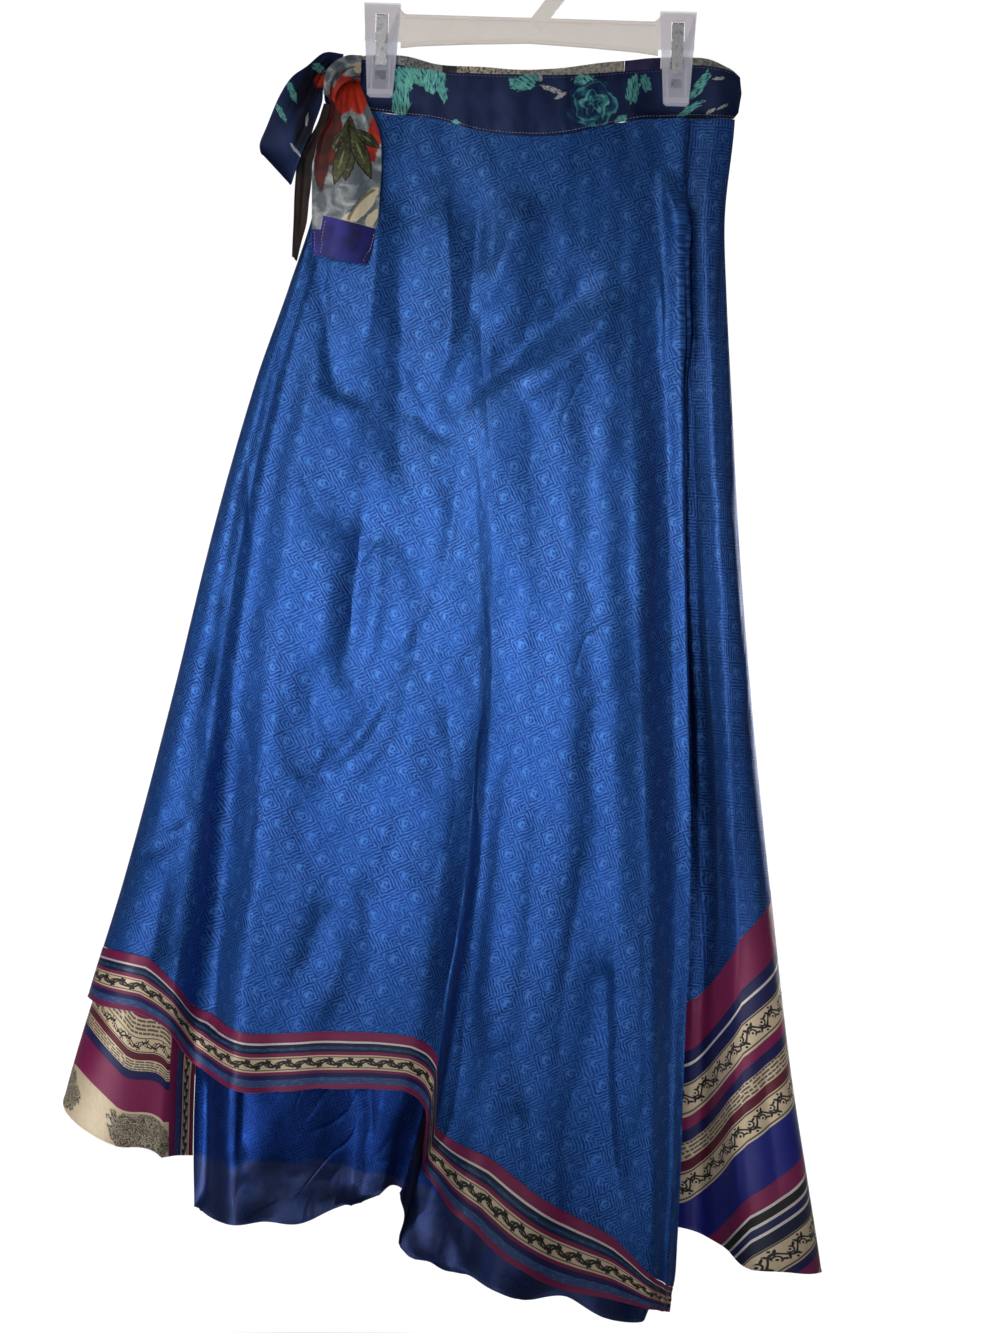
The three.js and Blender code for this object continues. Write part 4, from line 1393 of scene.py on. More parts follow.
RIGHT_AND_BACK = (
    Fold("pleat_inside", (112, 118, 118), (0.6, 3, 14), -800, -966),
    Fold("right_valley", (127, 141, 150), (-0.2, -2, 4), -790, -968),
    Fold("right_crest", (141, 162, 192), (-5, -24, -38), -746, -988),
    Fold("right_side", (0, 0, 0), (1, 6, 10), -710, -995, side=Side.RIGHT),
    Fold("back_crest_1", (138, 152, 196), (6, 28, 46), -676, -985),
    Fold("back_valley_1", (102, 106, 130), (4, 22, 22), -640, -960),
    Fold("back_crest_2", (62, 64, 72), (9, 36, 52), -905, -950),
    Fold("back_valley_2", (16, 12, 4), (10, 31, 26), -892, -937),
    Fold("back_crest_3", (-28, -38, -58), (10, 38, 54), -882, -926),
    Fold("back_valley_3", (-70, -92, -122), (8, 29, 24), -860, -904),
    Fold("back_crest_4", (-104, -140, -182), (4.6, 34, 50), -836, -880),
    Fold("back_valley_4", (-128, -186, -232), (4.2, 20, 20), -806, -849),
    Fold("back_crest_5", (-143, -222, -284), (5, 24, 36), -782, -824),
)
FRONT = (
    RIGHT_AND_BACK[-1],
    Fold("left_side", (0, 0, 0), (1, 6, 10), -768, -806, side=Side.LEFT),
    Fold("left_crest", (-145, -231, -292), (-5, -24, -38), -772, -813),
    Fold("left_shoulder", (-141, -219, -250), (-4.8, -22, -34), -790, -825),
    Fold("left_valley", (-137, -206, -222), (-4.6, -15, -14), -811, -852),
    Fold("mid_crest_left", (-122, -173, -190), (-5, -32, -46), -825, -868),
    Fold("mid_dip", (-98, -112, -138), (-4.8, -32, -41), -822, -865),
    Fold("mid_crest_right", (-66, -48, -100), (-9, -37, -48), -824, -864),
    Fold("step_edge", (-44, -24, -82), (-11.5, -36, -40), -840, -880),
    Fold("step_valley", (-28, -14, -71), (-12, -31, -12), -893, -929),
    Fold("step_rise", (-4, 16, -20), (-13, -40, -44), -912, -967),
    Fold("right_crest_a", (24, 44, 18), (-12, -44, -52), -935, -993),
    Fold("small_dip", (42, 60, 56), (-10, -42, -45), -953, -1008),
    Fold("right_crest_b", (60, 76, 88), (-8, -46, -54), -967, -1012),
    Fold("corner_crest", (78, 96, 114), (-6, -42, -46), -992, -1018),
    Fold("pleat_valley", (104, 122, 128), (-4.4, -18, -30), -1003, -1023),
    Fold("pleat_ridge", (118, 132, 136), (-5.8, -22, -14), -1008, -1026),
    Fold("pleat_edge", (121, 134, 132), (-3.6, -10, 2), -1008, -1026),
)
UNDER_HEM = {
    "back_crest_4": -850, "back_valley_4": -862, "back_crest_5": -870, "left_side": -881,
    "left_crest": -911, "left_shoulder": -918, "left_valley": -959, "mid_crest_left": -968,
    "mid_dip": -960, "mid_crest_right": -942, "step_edge": -938, "step_valley": -984,
    "step_rise": -1001, "right_crest_a": -1014, "small_dip": -1015, "right_crest_b": -1028,
    "corner_crest": -1031,
}
# How far the under layer lies inside the outer one at the waist, the knee and the hem, and how
# far some of its folds lie to the left.
UNDER_GAP: Triple = (2.7, 4.4, 6)
UNDER_STEP: dict[str, Triple] = {"step_edge": (0, -1.5, -4), "step_valley": (0, -1.5, -4)}
UNDER_END = Fold("under_edge", (92, 108, 121), (-1.8, -20, -29), hem=-1018)
# A fold whose Y at the knee is over this, in millimetres, lies at the back.
BACK_STARTS = 10
# Which fold the right side ends and the back begins at.
BACK_FIRST = 5


def inset(fold: Fold) -> Fold:
    """The same fold of the layer inside.

    Args:
        fold: A fold of the outer layer.

    Returns:
        The fold behind it in front, forward of it at the back, and drawn in at the left side.
    """
    if fold.side:
        return replace(fold, drawn=UNDER_GAP, hem=UNDER_HEM[fold.name])
    towards = -1 if fold.y[1] > BACK_STARTS else 1
    y = tuple(value + towards * gap for value, gap in zip(fold.y, UNDER_GAP))
    x = tuple(value + shift for value, shift in zip(fold.x, UNDER_STEP.get(fold.name, (0, 0, 0))))
    return replace(fold, x=x, y=y, hem=UNDER_HEM[fold.name])


@dataclass(frozen=True)
class Layer:
    """A layer of the skirt as its fold lines in ring order. s counts along them."""

    folds: tuple[Fold, ...]
    outline: Outline = Outline()

    def index(self, name: str) -> int:
        """Which fold has that name."""
        return [fold.name for fold in self.folds].index(name)

    def fold_point(self, fold: Fold, z: np.ndarray) -> tuple[np.ndarray, np.ndarray]:
        """Plan place of a fold line, which keeps its share of the skirt's breadth.

        Args:
            fold: The fold.
            z: Heights on it.

        Returns:
            Its x and y at those heights.
        """
        share = (WAIST_Z - z) / (WAIST_Z - HEM_Z)
        y = through(fold.y, share)
        if fold.side:
            return self.outline.at(fold.side, z) + through(fold.drawn, share), y
        stations = np.array([WAIST_Z, KNEE_Z, HEM_Z])
        low, high = self.outline.at(Side.LEFT, stations), self.outline.at(Side.RIGHT, stations)
        breadth = tuple((np.array(fold.x) - low) / (high - low))
        left, right = self.outline.at(Side.LEFT, z), self.outline.at(Side.RIGHT, z)
        return lerp(left, right, through(breadth, share)), y

    def place(self, s: np.ndarray, z: np.ndarray) -> np.ndarray:
        """Points of the layer, in millimetres.

        Between two folds the section is half a cosine wave, and beside a side fold a quarter
        of an ellipse.

        Args:
            s: Place along the folds.
            z: Heights, of the same shape.

        Returns:
            The points, with a last axis of x, y and z.
        """
        first = np.clip(np.floor(s).astype(int), 0, len(self.folds) - 2)
        x, y = np.zeros_like(z), np.zeros_like(z)
        for number, (fold, following) in enumerate(zip(self.folds, self.folds[1:])):
            here = first == number
            share = s[here] - number
            ax, ay = self.fold_point(fold, z[here])
            bx, by = self.fold_point(following, z[here])
            rise = np.sin(share * math.pi / 2)
            turn = 1 - np.cos(share * math.pi / 2)
            wave = (1 - np.cos(share * math.pi)) / 2
            over, out = (turn, rise) if fold.side else (rise, turn) if following.side else (share, wave)
            x[here], y[here] = lerp(ax, bx, over), lerp(ay, by, out)
        return np.stack([x, y, z], axis=-1)

    def along(self, s: np.ndarray, column: str) -> np.ndarray:
        """A number that each fold holds, between the folds."""
        values = [getattr(fold, column) for fold in self.folds]
        return table_curve(range(len(values)), values)(s)


# A crease's line is read at this many points, and its bell curve out to this many half widths.
LINE_STEPS = 28
LINE_REACH = 3.2


@dataclass(frozen=True)
class Crease:
    """A soft ridge or trough placed on one face of the skirt, along points on X and Z.

    Its section is exp(-|across / half| ^ sharpness), and height is how far it stands out, under
    0 for a trough. lean makes one side wider, and fade is the share of its length over which
    each end fades out.
    """

    points: tuple[tuple[float, float], ...]
    half: float
    height: float
    lean: float = 0.0
    fade: float = 0.3
    sharpness: ClassVar[float] = 1.45

    def lift(self, x: np.ndarray, z: np.ndarray) -> np.ndarray:
        """How far the crease lifts each place, by its distance square to the crease's line.

        Args:
            x: Places on X.
            z: Places on Z, of the same shape.

        Returns:
            The lift, in millimetres.
        """
        line = curves_through(self.points, np.linspace(0, len(self.points) - 1, LINE_STEPS))
        direction = np.gradient(line, axis=0)
        direction /= np.linalg.norm(direction, axis=1, keepdims=True)
        reach = LINE_REACH * self.half
        low, high = line.min(0) - reach, line.max(0) + reach
        near = (x > low[0]) & (x < high[0]) & (z > low[1]) & (z < high[1])
        offset = np.stack([x[near], z[near]], axis=-1)[:, None, :] - line[None, :, :]
        closest = np.linalg.norm(offset, axis=-1).argmin(axis=1)
        nearest, step = offset[np.arange(len(offset)), closest], direction[closest]
        across = nearest[:, 0] * step[:, 1] - nearest[:, 1] * step[:, 0]
        along = nearest[:, 0] * step[:, 0] + nearest[:, 1] * step[:, 1]
        share = (closest + along / np.linalg.norm(line[1] - line[0])) / (len(line) - 1)
        strength = smooth(share / self.fade) * smooth((1 - share) / self.fade)
        width = self.half * (1 + self.lean * np.sign(across))
        lift = np.zeros_like(x)
        lift[near] = self.height * strength * np.exp(-(np.abs(across / width) ** self.sharpness))
        return lift


FRONT_CREASES = (
    # Drag lines that fan out under the waist between the clips.
    Crease(((-62, -178), (-56, -235), (-52, -290), (-58, -350)), 12, 5.6),
    Crease(((8, -192), (-10, -236), (-34, -292)), 17, 4.8),
    Crease(((-34, -180), (-36, -250), (-44, -320)), 9, -2.6),
    Crease(((66, -246), (28, -286), (-8, -320), (-58, -372)), 14, -5.4, 0.25),
    Crease(((84, -262), (40, -312), (0, -352)), 15, 4.4),
    Crease(((-94, -235), (-90, -300), (-89, -360), (-86, -420)), 12, -4.8),
    Crease(((-108, -190), (-110, -250), (-116, -330)), 10, 3.6),
    Crease(((-155, -250), (-147, -293), (-141, -330), (-132, -356)), 8, -3.4),
    Crease(((-158, -330), (-134, -348), (-108, -344)), 3, -1.0),
    Crease(((-128, -362), (-108, -352), (-88, -350)), 3, -1.0),
    Crease(((-150, -372), (-130, -360), (-112, -366)), 3, 0.8),
    Crease(((-104, -306), (-84, -342), (-66, -373), (-38, -380)), 5, -1.5),
    Crease(((-96, -356), (-76, -362), (-60, -352)), 3.5, -0.9),
    # The short deep trough left of the middle, pinched at its middle.
    Crease(((-112, -420), (-117, -470), (-121, -520), (-126, -578)), 7.5, -4.2, -0.3),
    Crease(((-128, -448), (-114, -456), (-98, -452)), 4, -1.2),
    Crease(((-100, -440), (-103, -500), (-108, -560)), 7, 2.2),
    Crease(((-136, -430), (-138, -500), (-140, -560)), 12, 2.2),
    # The long curved crease that runs down and left to a pinch.
    Crease(((-36, -364), (-45, -430), (-52, -480), (-66, -530), (-94, -569), (-115, -610)), 5.5, -2.0, 0.3),
    Crease(((-88, -566), (-112, -604), (-140, -634)), 6, -2.8, 0.2),
    Crease(((-168, -622), (-146, -632), (-128, -636)), 5, -1.5),
    Crease(((-70, -566), (-98, -600), (-118, -640)), 12, 1.4),
    Crease(((-104, -500), (-90, -532), (-72, -552)), 8, -1.2),
    # Long valleys that open into the border, under a swell that fills the tallest one's head.
    Crease(((-24, -270), (-18, -380), (-12, -470), (-9, -560), (-12, -640)), 17, 2.4),
    Crease(((-14, -560), (-22, -640), (-30, -720), (-38, -800), (-46, -880)), 13, -4.6, -0.35),
    Crease(((2, -600), (-4, -690), (-8, -780), (-12, -860)), 14, 3.0),
    Crease(((-40, -640), (-50, -720), (-60, -800)), 12, 2.0),
    Crease(((-56, -670), (-40, -684), (-30, -690)), 5, -1.4),
    Crease(((-204, -575), (-213, -690), (-218, -800), (-222, -832)), 12, -5.8, -0.2),
    Crease(((-232, -640), (-238, -720), (-244, -780)), 12, 2.2),
    # Lower wrinkles.
    Crease(((-280, -700), (-256, -688), (-230, -668)), 7, -2.0),
    Crease(((-264, -790), (-256, -740), (-250, -700)), 8, 1.8),
    Crease(((-130, -722), (-140, -758), (-158, -806)), 9, -2.6),
    Crease(((-118, -740), (-124, -780), (-134, -818)), 9, 1.8),
    Crease(((-108, -700), (-99, -744), (-92, -806)), 7, -1.8),
    Crease(((-82, -690), (-68, -716), (-60, -760)), 7, 1.4),
    Crease(((60, -640), (54, -730), (46, -806), (42, -870)), 7, -1.8),
    Crease(((28, -660), (24, -760), (20, -860)), 9, 1.6),
    Crease(((74, -742), (76, -820), (84, -900), (108, -978)), 11, -5.4, 0.3),
    Crease(((98, -700), (100, -800), (104, -890)), 9, 2.4),
    Crease(((64, -770), (78, -780), (92, -800)), 6, -1.3),
    Crease(((12, -860), (17, -905), (20, -950)), 8, -3.0),
    Crease(((38, -890), (44, -930), (46, -962)), 7, 1.8),
    Crease(((24, -700), (22, -780), (12, -850)), 6, -1.2),
    # The rounded flute beside the free edge.
    Crease(((100, -168), (116, -215), (122, -260), (124, -330)), 7, 5.0, 0.0, 0.2),
    Crease(((97, -232), (106, -290), (110, -340)), 6, 2.4),
    Crease(((88, -380), (92, -470), (96, -560)), 10, 1.8),
)
BACK_CREASES = (
    Crease(((-70, -180), (-40, -250), (-26, -330)), 14, 3.4),
    Crease(((60, -176), (40, -240), (30, -330), (28, -400)), 13, 3.2),
    Crease(((96, -190), (74, -260), (56, -330)), 10, -3.0),
    Crease(((-102, -200), (-84, -270), (-60, -350), (-46, -400)), 11, -3.4, 0.2),
    Crease(((10, -220), (4, -320), (-2, -420)), 12, -2.6),
    Crease(((-112, -420), (-124, -500), (-140, -590)), 11, -3.2),
    Crease(((60, -430), (84, -520), (96, -600)), 10, -2.8),
    Crease(((30, -520), (22, -620), (14, -720)), 12, 2.4),
    Crease(((-20, -560), (-36, -650), (-30, -760)), 10, -2.6, 0.3),
    Crease(((-160, -600), (-176, -700), (-196, -780)), 12, -3.0),
    Crease(((104, -640), (112, -740), (126, -840)), 11, 2.4),
    Crease(((50, -700), (66, -790), (68, -870)), 9, -2.4),
    Crease(((-90, -700), (-104, -770), (-108, -840)), 9, -2.2),
    Crease(((-150, -460), (-130, -468), (-112, -462)), 6, -1.8),
    Crease(((150, -480), (158, -600), (168, -700)), 12, -2.0),
)
# Where the under layer hangs below the border.
UNDER_CREASES = (
    Crease(((-221, -850), (-220, -900), (-218, -965)), 6.5, -4.5, 0.1, 0.12),
    Crease(((-189, -840), (-189, -880), (-192, -925)), 9, -6.0, 0.2, 0.2),
    Crease(((-108, -842), (-108, -900), (-112, -950)), 24, -9.0, 0.35, 0.12),
    Crease(((-68, -880), (-72, -925), (-78, -960)), 8, -3.6, 0.0, 0.2),
    Crease(((-60, -920), (-56, -965), (-50, -998)), 9, 3.6),
    Crease(((-170, -924), (-145, -938), (-118, -943)), 5, -1.6),
    Crease(((-196, -946), (-176, -934), (-160, -930)), 4, -1.4),
    Crease(((-36, -960), (-28, -985), (-22, -1004)), 7, -2.8),
    Crease(((14, -985), (20, -1005), (22, -1020)), 6, 2.2),
)
SIDE_CREASES = (
    Crease(((148, -200), (150, -300), (152, -400)), 7, -1.6),
    # The deep trough behind the free edge.
    Crease(((128, -480), (134, -600), (142, -700), (150, -810)), 19, -6.5, 0.1, 0.3),
    Crease(((140, -420), (146, -520), (150, -620)), 7, 1.6),
    Crease(((168, -560), (176, -660), (186, -740)), 9, -1.8),
    Crease(((196, -800), (204, -880), (214, -950)), 9, -2.2),
    Crease(((172, -840), (178, -900), (184, -960)), 8, 2.0),
)
# How sharply a face takes over its own creases where the cloth turns, and how far under the
# waist seam creases start and take to reach their full height, in millimetres.
TURNING = 1.6
CREASES_START = 4.0
CREASES_EASE = 40.0
# The waves of the silk's slow unevenness: length in millimetres, lean and phase of each. The
# first is DRIFT_HEIGHT high, and the others are as much higher as they are longer.
DRIFT_WAVES = ((71, 0.5, 0.0), (113, -0.8, 1.1), (47, 1.3, 2.3), (29, -1.9, 0.7), (19, 2.6, 1.9))
DRIFT_HEIGHT = 0.42
BACK_PHASE = 2.1


def drift(x: np.ndarray, z: np.ndarray, turn: float) -> np.ndarray:
    """Slow unevenness of hanging silk: five sine waves that cross at odd angles.

    Args:
        x: Places on X.
        z: Places on Z.
        turn: A phase that sets one face's waves apart from another's.

    Returns:
        How far the cloth stands out, in millimetres.
    """
    total = np.zeros_like(x)
    for length, lean, phase in DRIFT_WAVES:
        along = (x * math.cos(lean * 0.35) + z * math.sin(lean * 0.35) * 0.45) / length
        wave = np.sin(along * math.tau + phase + turn + np.sin(z / 130 + phase) * 1.4)
        total += wave * length / DRIFT_WAVES[0][0]
    return total * DRIFT_HEIGHT


def lift_of(creases: Iterable["Crease | TieCrease"], x: np.ndarray, z: np.ndarray) -> np.ndarray:
    """The sum of what the creases lift each place, in millimetres."""
    return sum((crease.lift(x, z) for crease in creases), np.zeros_like(x))


def creased(points: np.ndarray, front: Iterable[Crease], back: Iterable[Crease], share: float) -> np.ndarray:
    """A grid of points moved along its normals by the creases and the slow unevenness.

    Both die out at the waist seam.

    Args:
        points: The layer's plain form, in millimetres.
        front: Creases that act where the cloth faces forward.
        back: Creases that act where it faces back.
        share: How much of the lift this layer takes.

    Returns:
        The moved points.
    """
    normal = grid_normals(points)
    x, z = points[..., 0], points[..., 2]
    forward, backward = (smooth(way * normal[..., 1] * TURNING) for way in (-1, 1))
    below = smooth((WAIST_Z - CREASES_START - z) / CREASES_EASE)
    lift = forward * lift_of(front, x, z) + backward * lift_of(back, x, z)
    uneven = forward * drift(x, z, 0.0) + backward * drift(x, z, BACK_PHASE)
    return points + normal * ((lift + uneven) * below * share)[..., None]


# ---------------- settling a piece on the frame
def settle(piece: bpy.types.Object, nodes: Iterable[str], slot: str, finish: bpy.types.Material) -> None:
    """Dresses a piece, lets it stand for CAD nodes and rides it on the skirt's one body.

    Args:
        piece: The finished piece.
        nodes: The CAD nodes that it replaces, if any.
        slot: The record's material slot. Not used.
        finish: Its material.
    """
    piece.data.materials.clear()
    piece.data.materials.append(finish)
    names = tuple(nodes)
    if names:
        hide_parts(*names)
    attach(piece, BODY)
    LOG.info("%s: %d faces for %s", piece.name, len(piece.data.polygons), ", ".join(names) or "detail")


@dataclass(frozen=True)
class Cut:
    """What a piece of cloth was cut to, in metres: the rectangle round it, and its own area."""

    width: float
    length: float
    area: float


@dataclass(frozen=True)
class Cloth:
    """What all pieces of cloth have: a name, the CAD node and slot they stand for, and a cut."""

    name: str
    node: str
    slot: str
    cut: Cut

    def make(
        self, outer: np.ndarray, flat: np.ndarray, thick: np.ndarray, finish: bpy.types.Material,
        rests_on: Sequence[str], held: str,
    ) -> None:
        """Args:
            outer: Its outer points, [column, row, xyz], in millimetres.
            flat: Flat cloth coordinates of the same grid, in millimetres.
            thick: Thickness at each grid point, in millimetres.
            finish: Its material.
            rests_on: Pieces that hold it. Not used.
            held: How it is held. Not used.
        """
        piece = shell(self.name, outer * MM, flat * MM, thick * MM)
        settle(piece, [self.node], self.slot, finish)
        log_measures(self.name, outer * MM)


@dataclass(frozen=True)
class Span:
    """A stretch of a layer between two fold lines, and the creases of its two faces.

    Lengths along the cloth are read from the fold named origin. share is how much of the
    creases' height the stretch takes.
    """

    layer: Layer
    start: str
    end: str
    origin: str
    front: tuple[Crease, ...]
    back: tuple[Crease, ...] = BACK_CREASES
    share: float = 1.5

    def line(self, column: str, shift: float = 0.0) -> Curve:
        """A height that each fold of the layer holds, as a function of the place along them."""
        return lambda s: self.layer.along(s, column) + shift


class Reading(Enum):
    """How a pattern reads its place down a panel.

    CLOTH is by height. TRIM is down from the seam as a share of the width. SLANTED follows the
    trim's slant. RAISED is up from the hem, taken as straight where it turns at the left.
    """

    CLOTH = "cloth"
    TRIM = "trim"
    SLANTED = "slanted"
    RAISED = "raised"


@dataclass(frozen=True)
class Panel(Cloth):
    """A panel of the skirt, or the trim sewn on below it.

    top and bottom give its edges' heights along the folds, and grid its columns and rows. hem
    is the rolled hem's width, ruffle how far the hem waves and proud how far the trim stands
    out, in millimetres.
    """

    span: Span
    top: Curve
    bottom: Curve
    grid: tuple[int, int]
    thick: float = 0.7
    proud: float = 0.0
    hem: float = 0.0
    ruffle: float = 0.0
    reading: Reading = Reading.CLOTH
    # Share of a fold that a panel stops short of its end folds, and slope of a slanted trim.
    ends: ClassVar[float] = 0.003
    slant: ClassVar[float] = 0.59
    # How high the hem's roll reaches, how much it thickens the cloth and lifts it forward, how
    # high the ruffle reaches and what share of it goes up and down.
    roll_height: ClassVar[float] = 1.6
    roll_thick: ClassVar[float] = 0.9
    roll_proud: ClassVar[float] = 0.45
    ruffle_height: ClassVar[float] = 16.0
    ruffle_sway: ClassVar[float] = 0.9

    def row_shares(self, length: float) -> np.ndarray:
        """Shares down the panel, with the last four close together where its hem is rolled.

        Args:
            length: The panel's mean length, in millimetres.

        Returns:
            A share for each row.
        """
        rows = self.grid[1]
        if not self.hem:
            return np.linspace(0, 1, rows)
        close = 1 - np.array([3.0, 2.0, 1.0, 0.0]) * self.hem / 3 / length
        return np.concatenate([np.linspace(0, close[0], rows - 3)[:-1], close])

    def points(self) -> tuple[np.ndarray, np.ndarray, np.ndarray]:
        """Works out the panel's form.

        Returns:
            Places along the folds, and the panel's points before and after creasing.
        """
        span = self.span
        first, last = span.layer.index(span.start), span.layer.index(span.end)
        s = np.linspace(first + self.ends, last - self.ends, self.grid[0])
        top, bottom = self.top(s), self.bottom(s)
        z = lerp(top[:, None], bottom[:, None], self.row_shares(float(np.mean(top - bottom)))[None, :])
        plain = span.layer.place(np.repeat(s[:, None], self.grid[1], axis=1), z)
        return s, plain, creased(plain, span.front, span.back, span.share)

    def flat(self, s: np.ndarray, plain: np.ndarray) -> np.ndarray:
        """Flat cloth coordinates of the panel's points.

        Args:
            s: Places along the folds, one for each column.
            plain: The points before creasing, in millimetres.

        Returns:
            The places along and down the cloth, in millimetres.
        """
        z = plain[..., 2]
        lengths = lengths_along(plain, axis=0)
        along = lengths - lengths[np.abs(s - self.span.layer.index(self.span.origin)).argmin()]
        top_row = np.repeat(along[:, :1], along.shape[1], axis=1)
        if self.reading is Reading.TRIM:
            share = (z[:, :1] - z) / (z[:, :1] - z[:, -1:])
            return np.stack([top_row, share * sum(stripe.width for stripe in BORDER_STRIPES)], axis=-1)
        if self.reading is Reading.SLANTED:
            down = z[:, :1] - z
            return np.stack([top_row - down * self.slant, down], axis=-1)
        if self.reading is Reading.RAISED:
            side = self.span.layer.index("left_side")
            hem = plain[:, -1]
            turning = (s >= side) & (s <= side + 1)
            ends = hem[turning][[-1, 0]]
            straight = np.interp(hem[:, 0], ends[::-1, 0], ends[::-1, 2])
            return np.stack([along, z - np.where(turning, straight, hem[:, 2])[:, None]], axis=-1)
        return np.stack([along, WAIST_Z - z], axis=-1)

    def flutter(self, arc: np.ndarray, over_hem: np.ndarray) -> np.ndarray:
        """How far the hem waves out: two sine waves of wandering length, which die out above it."""
        waves = np.sin(arc / 17 + 2.2 * np.sin(arc / 83)) + 0.6 * np.sin(arc / 7.3 + 1.7 * np.sin(arc / 41))
        return self.ruffle * waves * np.exp(-over_hem / self.ruffle_height)

    def build(self, finish: bpy.types.Material, rests_on: Sequence[str]) -> None:
        """Makes the panel, thicker and a little forward where its hem is rolled.

        Args:
            finish: Its material.
            rests_on: The pieces that it hangs from.
        """
        s, plain, points = self.points()
        over_hem = points[..., 2] - points[:, -1:, 2]
        roll = np.exp(-((over_hem / self.roll_height) ** 2)) if self.hem else np.zeros_like(over_hem)
        arc = lengths_along(plain, axis=0)[:, -1:]
        flutter = self.flutter(arc, over_hem)
        outer = points + grid_normals(points) * (self.proud + roll * self.roll_proud + flutter)[..., None]
        outer[..., 2] += flutter * np.cos(arc / 29) * self.ruffle_sway
        thick = self.thick + roll * self.roll_thick
        self.make(outer, self.flat(s, plain), thick, finish, rests_on, "hung")


BORDER_TRIM = {"reading": Reading.TRIM, "hem": 4.0, "thick": 1.0, "proud": 0.35, "ruffle": 0.8}
END_TRIM = {"hem": 4.0, "thick": 0.9, "proud": 0.25, "ruffle": 1.0}


@dataclass(frozen=True)
class Skirt:
    """The skirt's panels and trims.

    The back's border starts lower than the right end piece's seam. The under layer runs round
    the left side and behind the front. end_top is where the left end piece is sewn on, and
    end_hem the lowest that it hangs.
    """

    edges: WaistEdges = WaistEdges()
    front: Layer = Layer(FRONT)
    right: Layer = Layer(RIGHT_AND_BACK[:BACK_FIRST + 1])
    back: Layer = Layer((replace(RIGHT_AND_BACK[BACK_FIRST], join=-915), *RIGHT_AND_BACK[BACK_FIRST + 1:]))
    under: Layer = Layer((*(inset(fold) for fold in (*RIGHT_AND_BACK[-3:], *FRONT[1:-3])), UNDER_END))
    gap: float = SEAM_GAP / 2
    end_top: float = -790.0
    end_hem: float = -921.0

    def seam(self, span: Span, face: Face) -> Curve:
        """Height of the waist seam as a function of the place along a layer's folds."""
        curve = self.edges.curve(f"seam_{face.value}")
        return lambda s: curve(span.layer.place(s, np.full_like(s, WAIST_Z))[..., 0])

    def outer_panels(self) -> tuple[Panel, ...]:
        """Front, right side and back, each with its trim.

        Returns:
            The panels.
        """
        gap, silk, stripes = self.gap, "blue_silk", "border_stripes"
        front = Span(self.front, "back_crest_5", "pleat_edge", "step_rise", FRONT_CREASES)
        right = Span(self.right, "pleat_inside", "back_valley_1", "right_crest", SIDE_CREASES)
        back = Span(self.back, "back_valley_1", "back_crest_5", "back_valley_2", ())
        return (
            Panel(
                "front_silk", "front_panel", silk, Cut(0.7, 0.88, 0.324), front,
                self.seam(front, Face.FRONT), front.line("join", gap), (280, 168),
            ),
            Panel(
                "front_border_trim", "front_border", stripes, Cut(0.712, 0.058, 0.0263), front,
                front.line("join", -gap), front.line("edge"), (400, 26), **BORDER_TRIM,
            ),
            Panel(
                "right_silk", "right_panel", silk, Cut(0.276, 0.67, 0.0877), right,
                self.seam(right, Face.BACK), right.line("join", gap), (150, 120),
            ),
            Panel(
                "right_end_trim", "right_end_piece", "end_stripes", Cut(0.33, 0.32, 0.069), right,
                right.line("join", -gap), right.line("edge"), (190, 80),
                reading=Reading.SLANTED, **END_TRIM,
            ),
            Panel(
                "back_silk", "back_panel", silk, Cut(0.44, 0.78, 0.234), back,
                self.seam(back, Face.BACK), back.line("join", gap), (220, 120),
            ),
            Panel(
                "back_border_trim", "back_border", stripes, Cut(0.454, 0.045, 0.0189), back,
                back.line("join", -gap), back.line("edge"), (300, 26), **BORDER_TRIM,
            ),
        )

    def under_panels(self) -> tuple[Panel, ...]:
        """The under layer behind the front, its side, and the striped end piece at the left.

        Returns:
            The panels.
        """
        creases = FRONT_CREASES + UNDER_CREASES
        front = Span(self.under, "left_valley", "under_edge", "step_rise", creases, share=1.1)
        side = replace(front, start="back_crest_4", end="left_valley", origin="left_valley")
        hem, seam = front.line("hem"), self.seam(front, Face.FRONT)
        return (
            Panel(
                "under_silk_front", "under_panel", "under_silk", Cut(0.453, 0.9, 0.276), front,
                seam, hem, (240, 110), hem=4.0, ruffle=2.2,
            ),
            Panel(
                "under_silk_side", "under_side_panel", "under_silk", Cut(0.258, 0.675, 0.0955), side,
                seam, lambda s: np.full_like(s, self.end_top + self.gap), (130, 80),
            ),
            Panel(
                "left_end_trim", "left_end_piece", "end_stripes", Cut(0.315, 0.131, 0.0259), side,
                lambda s: np.full_like(s, self.end_top - self.gap),
                lambda s: np.maximum(hem(s), self.end_hem), (150, 60), reading=Reading.RAISED, **END_TRIM,
            ),
        )

    def build(self) -> None:
        """Makes every panel with its finish."""
        front_silk = ChequerSilk("chequer_silk_front", turn=-24).build()
        # The right panel's silk: the front's print turned 2 degrees, on a ground a little darker than the
        # front's. The darker ground is painted shade beside the pleat.
        side_silk_painted_shade = ChequerSilk("chequer_silk_side", turn=2, ground=srgb(22, 72, 150)).build()
        # The under layer's silk: the front's print with a darker ground, line and shade and less contrast.
        # These are painted shade, where it hangs behind the front.
        under_silk = ChequerSilk(
            "chequer_silk_under", turn=-24, ground=srgb(12, 50, 128), line=srgb(40, 92, 176),
            shade=srgb(5, 18, 56), contrast=0.6, gloss=0.82, thin=True,
        ).build()
        border = StripedTrim("striped_border", BORDER_STRIPES).build()
        right_end = StripedTrim("striped_right_end", RIGHT_END_STRIPES, rise=0.81).build()
        left_end = LeftEndPiece("striped_left_end").build()
        outer = (front_silk, border, side_silk_painted_shade, right_end, front_silk, border)
        under = (under_silk, under_silk, left_end)
        for panel, finish in zip((*self.outer_panels(), *self.under_panels()), outer + under):
            panel.build(finish, ["band_front"])


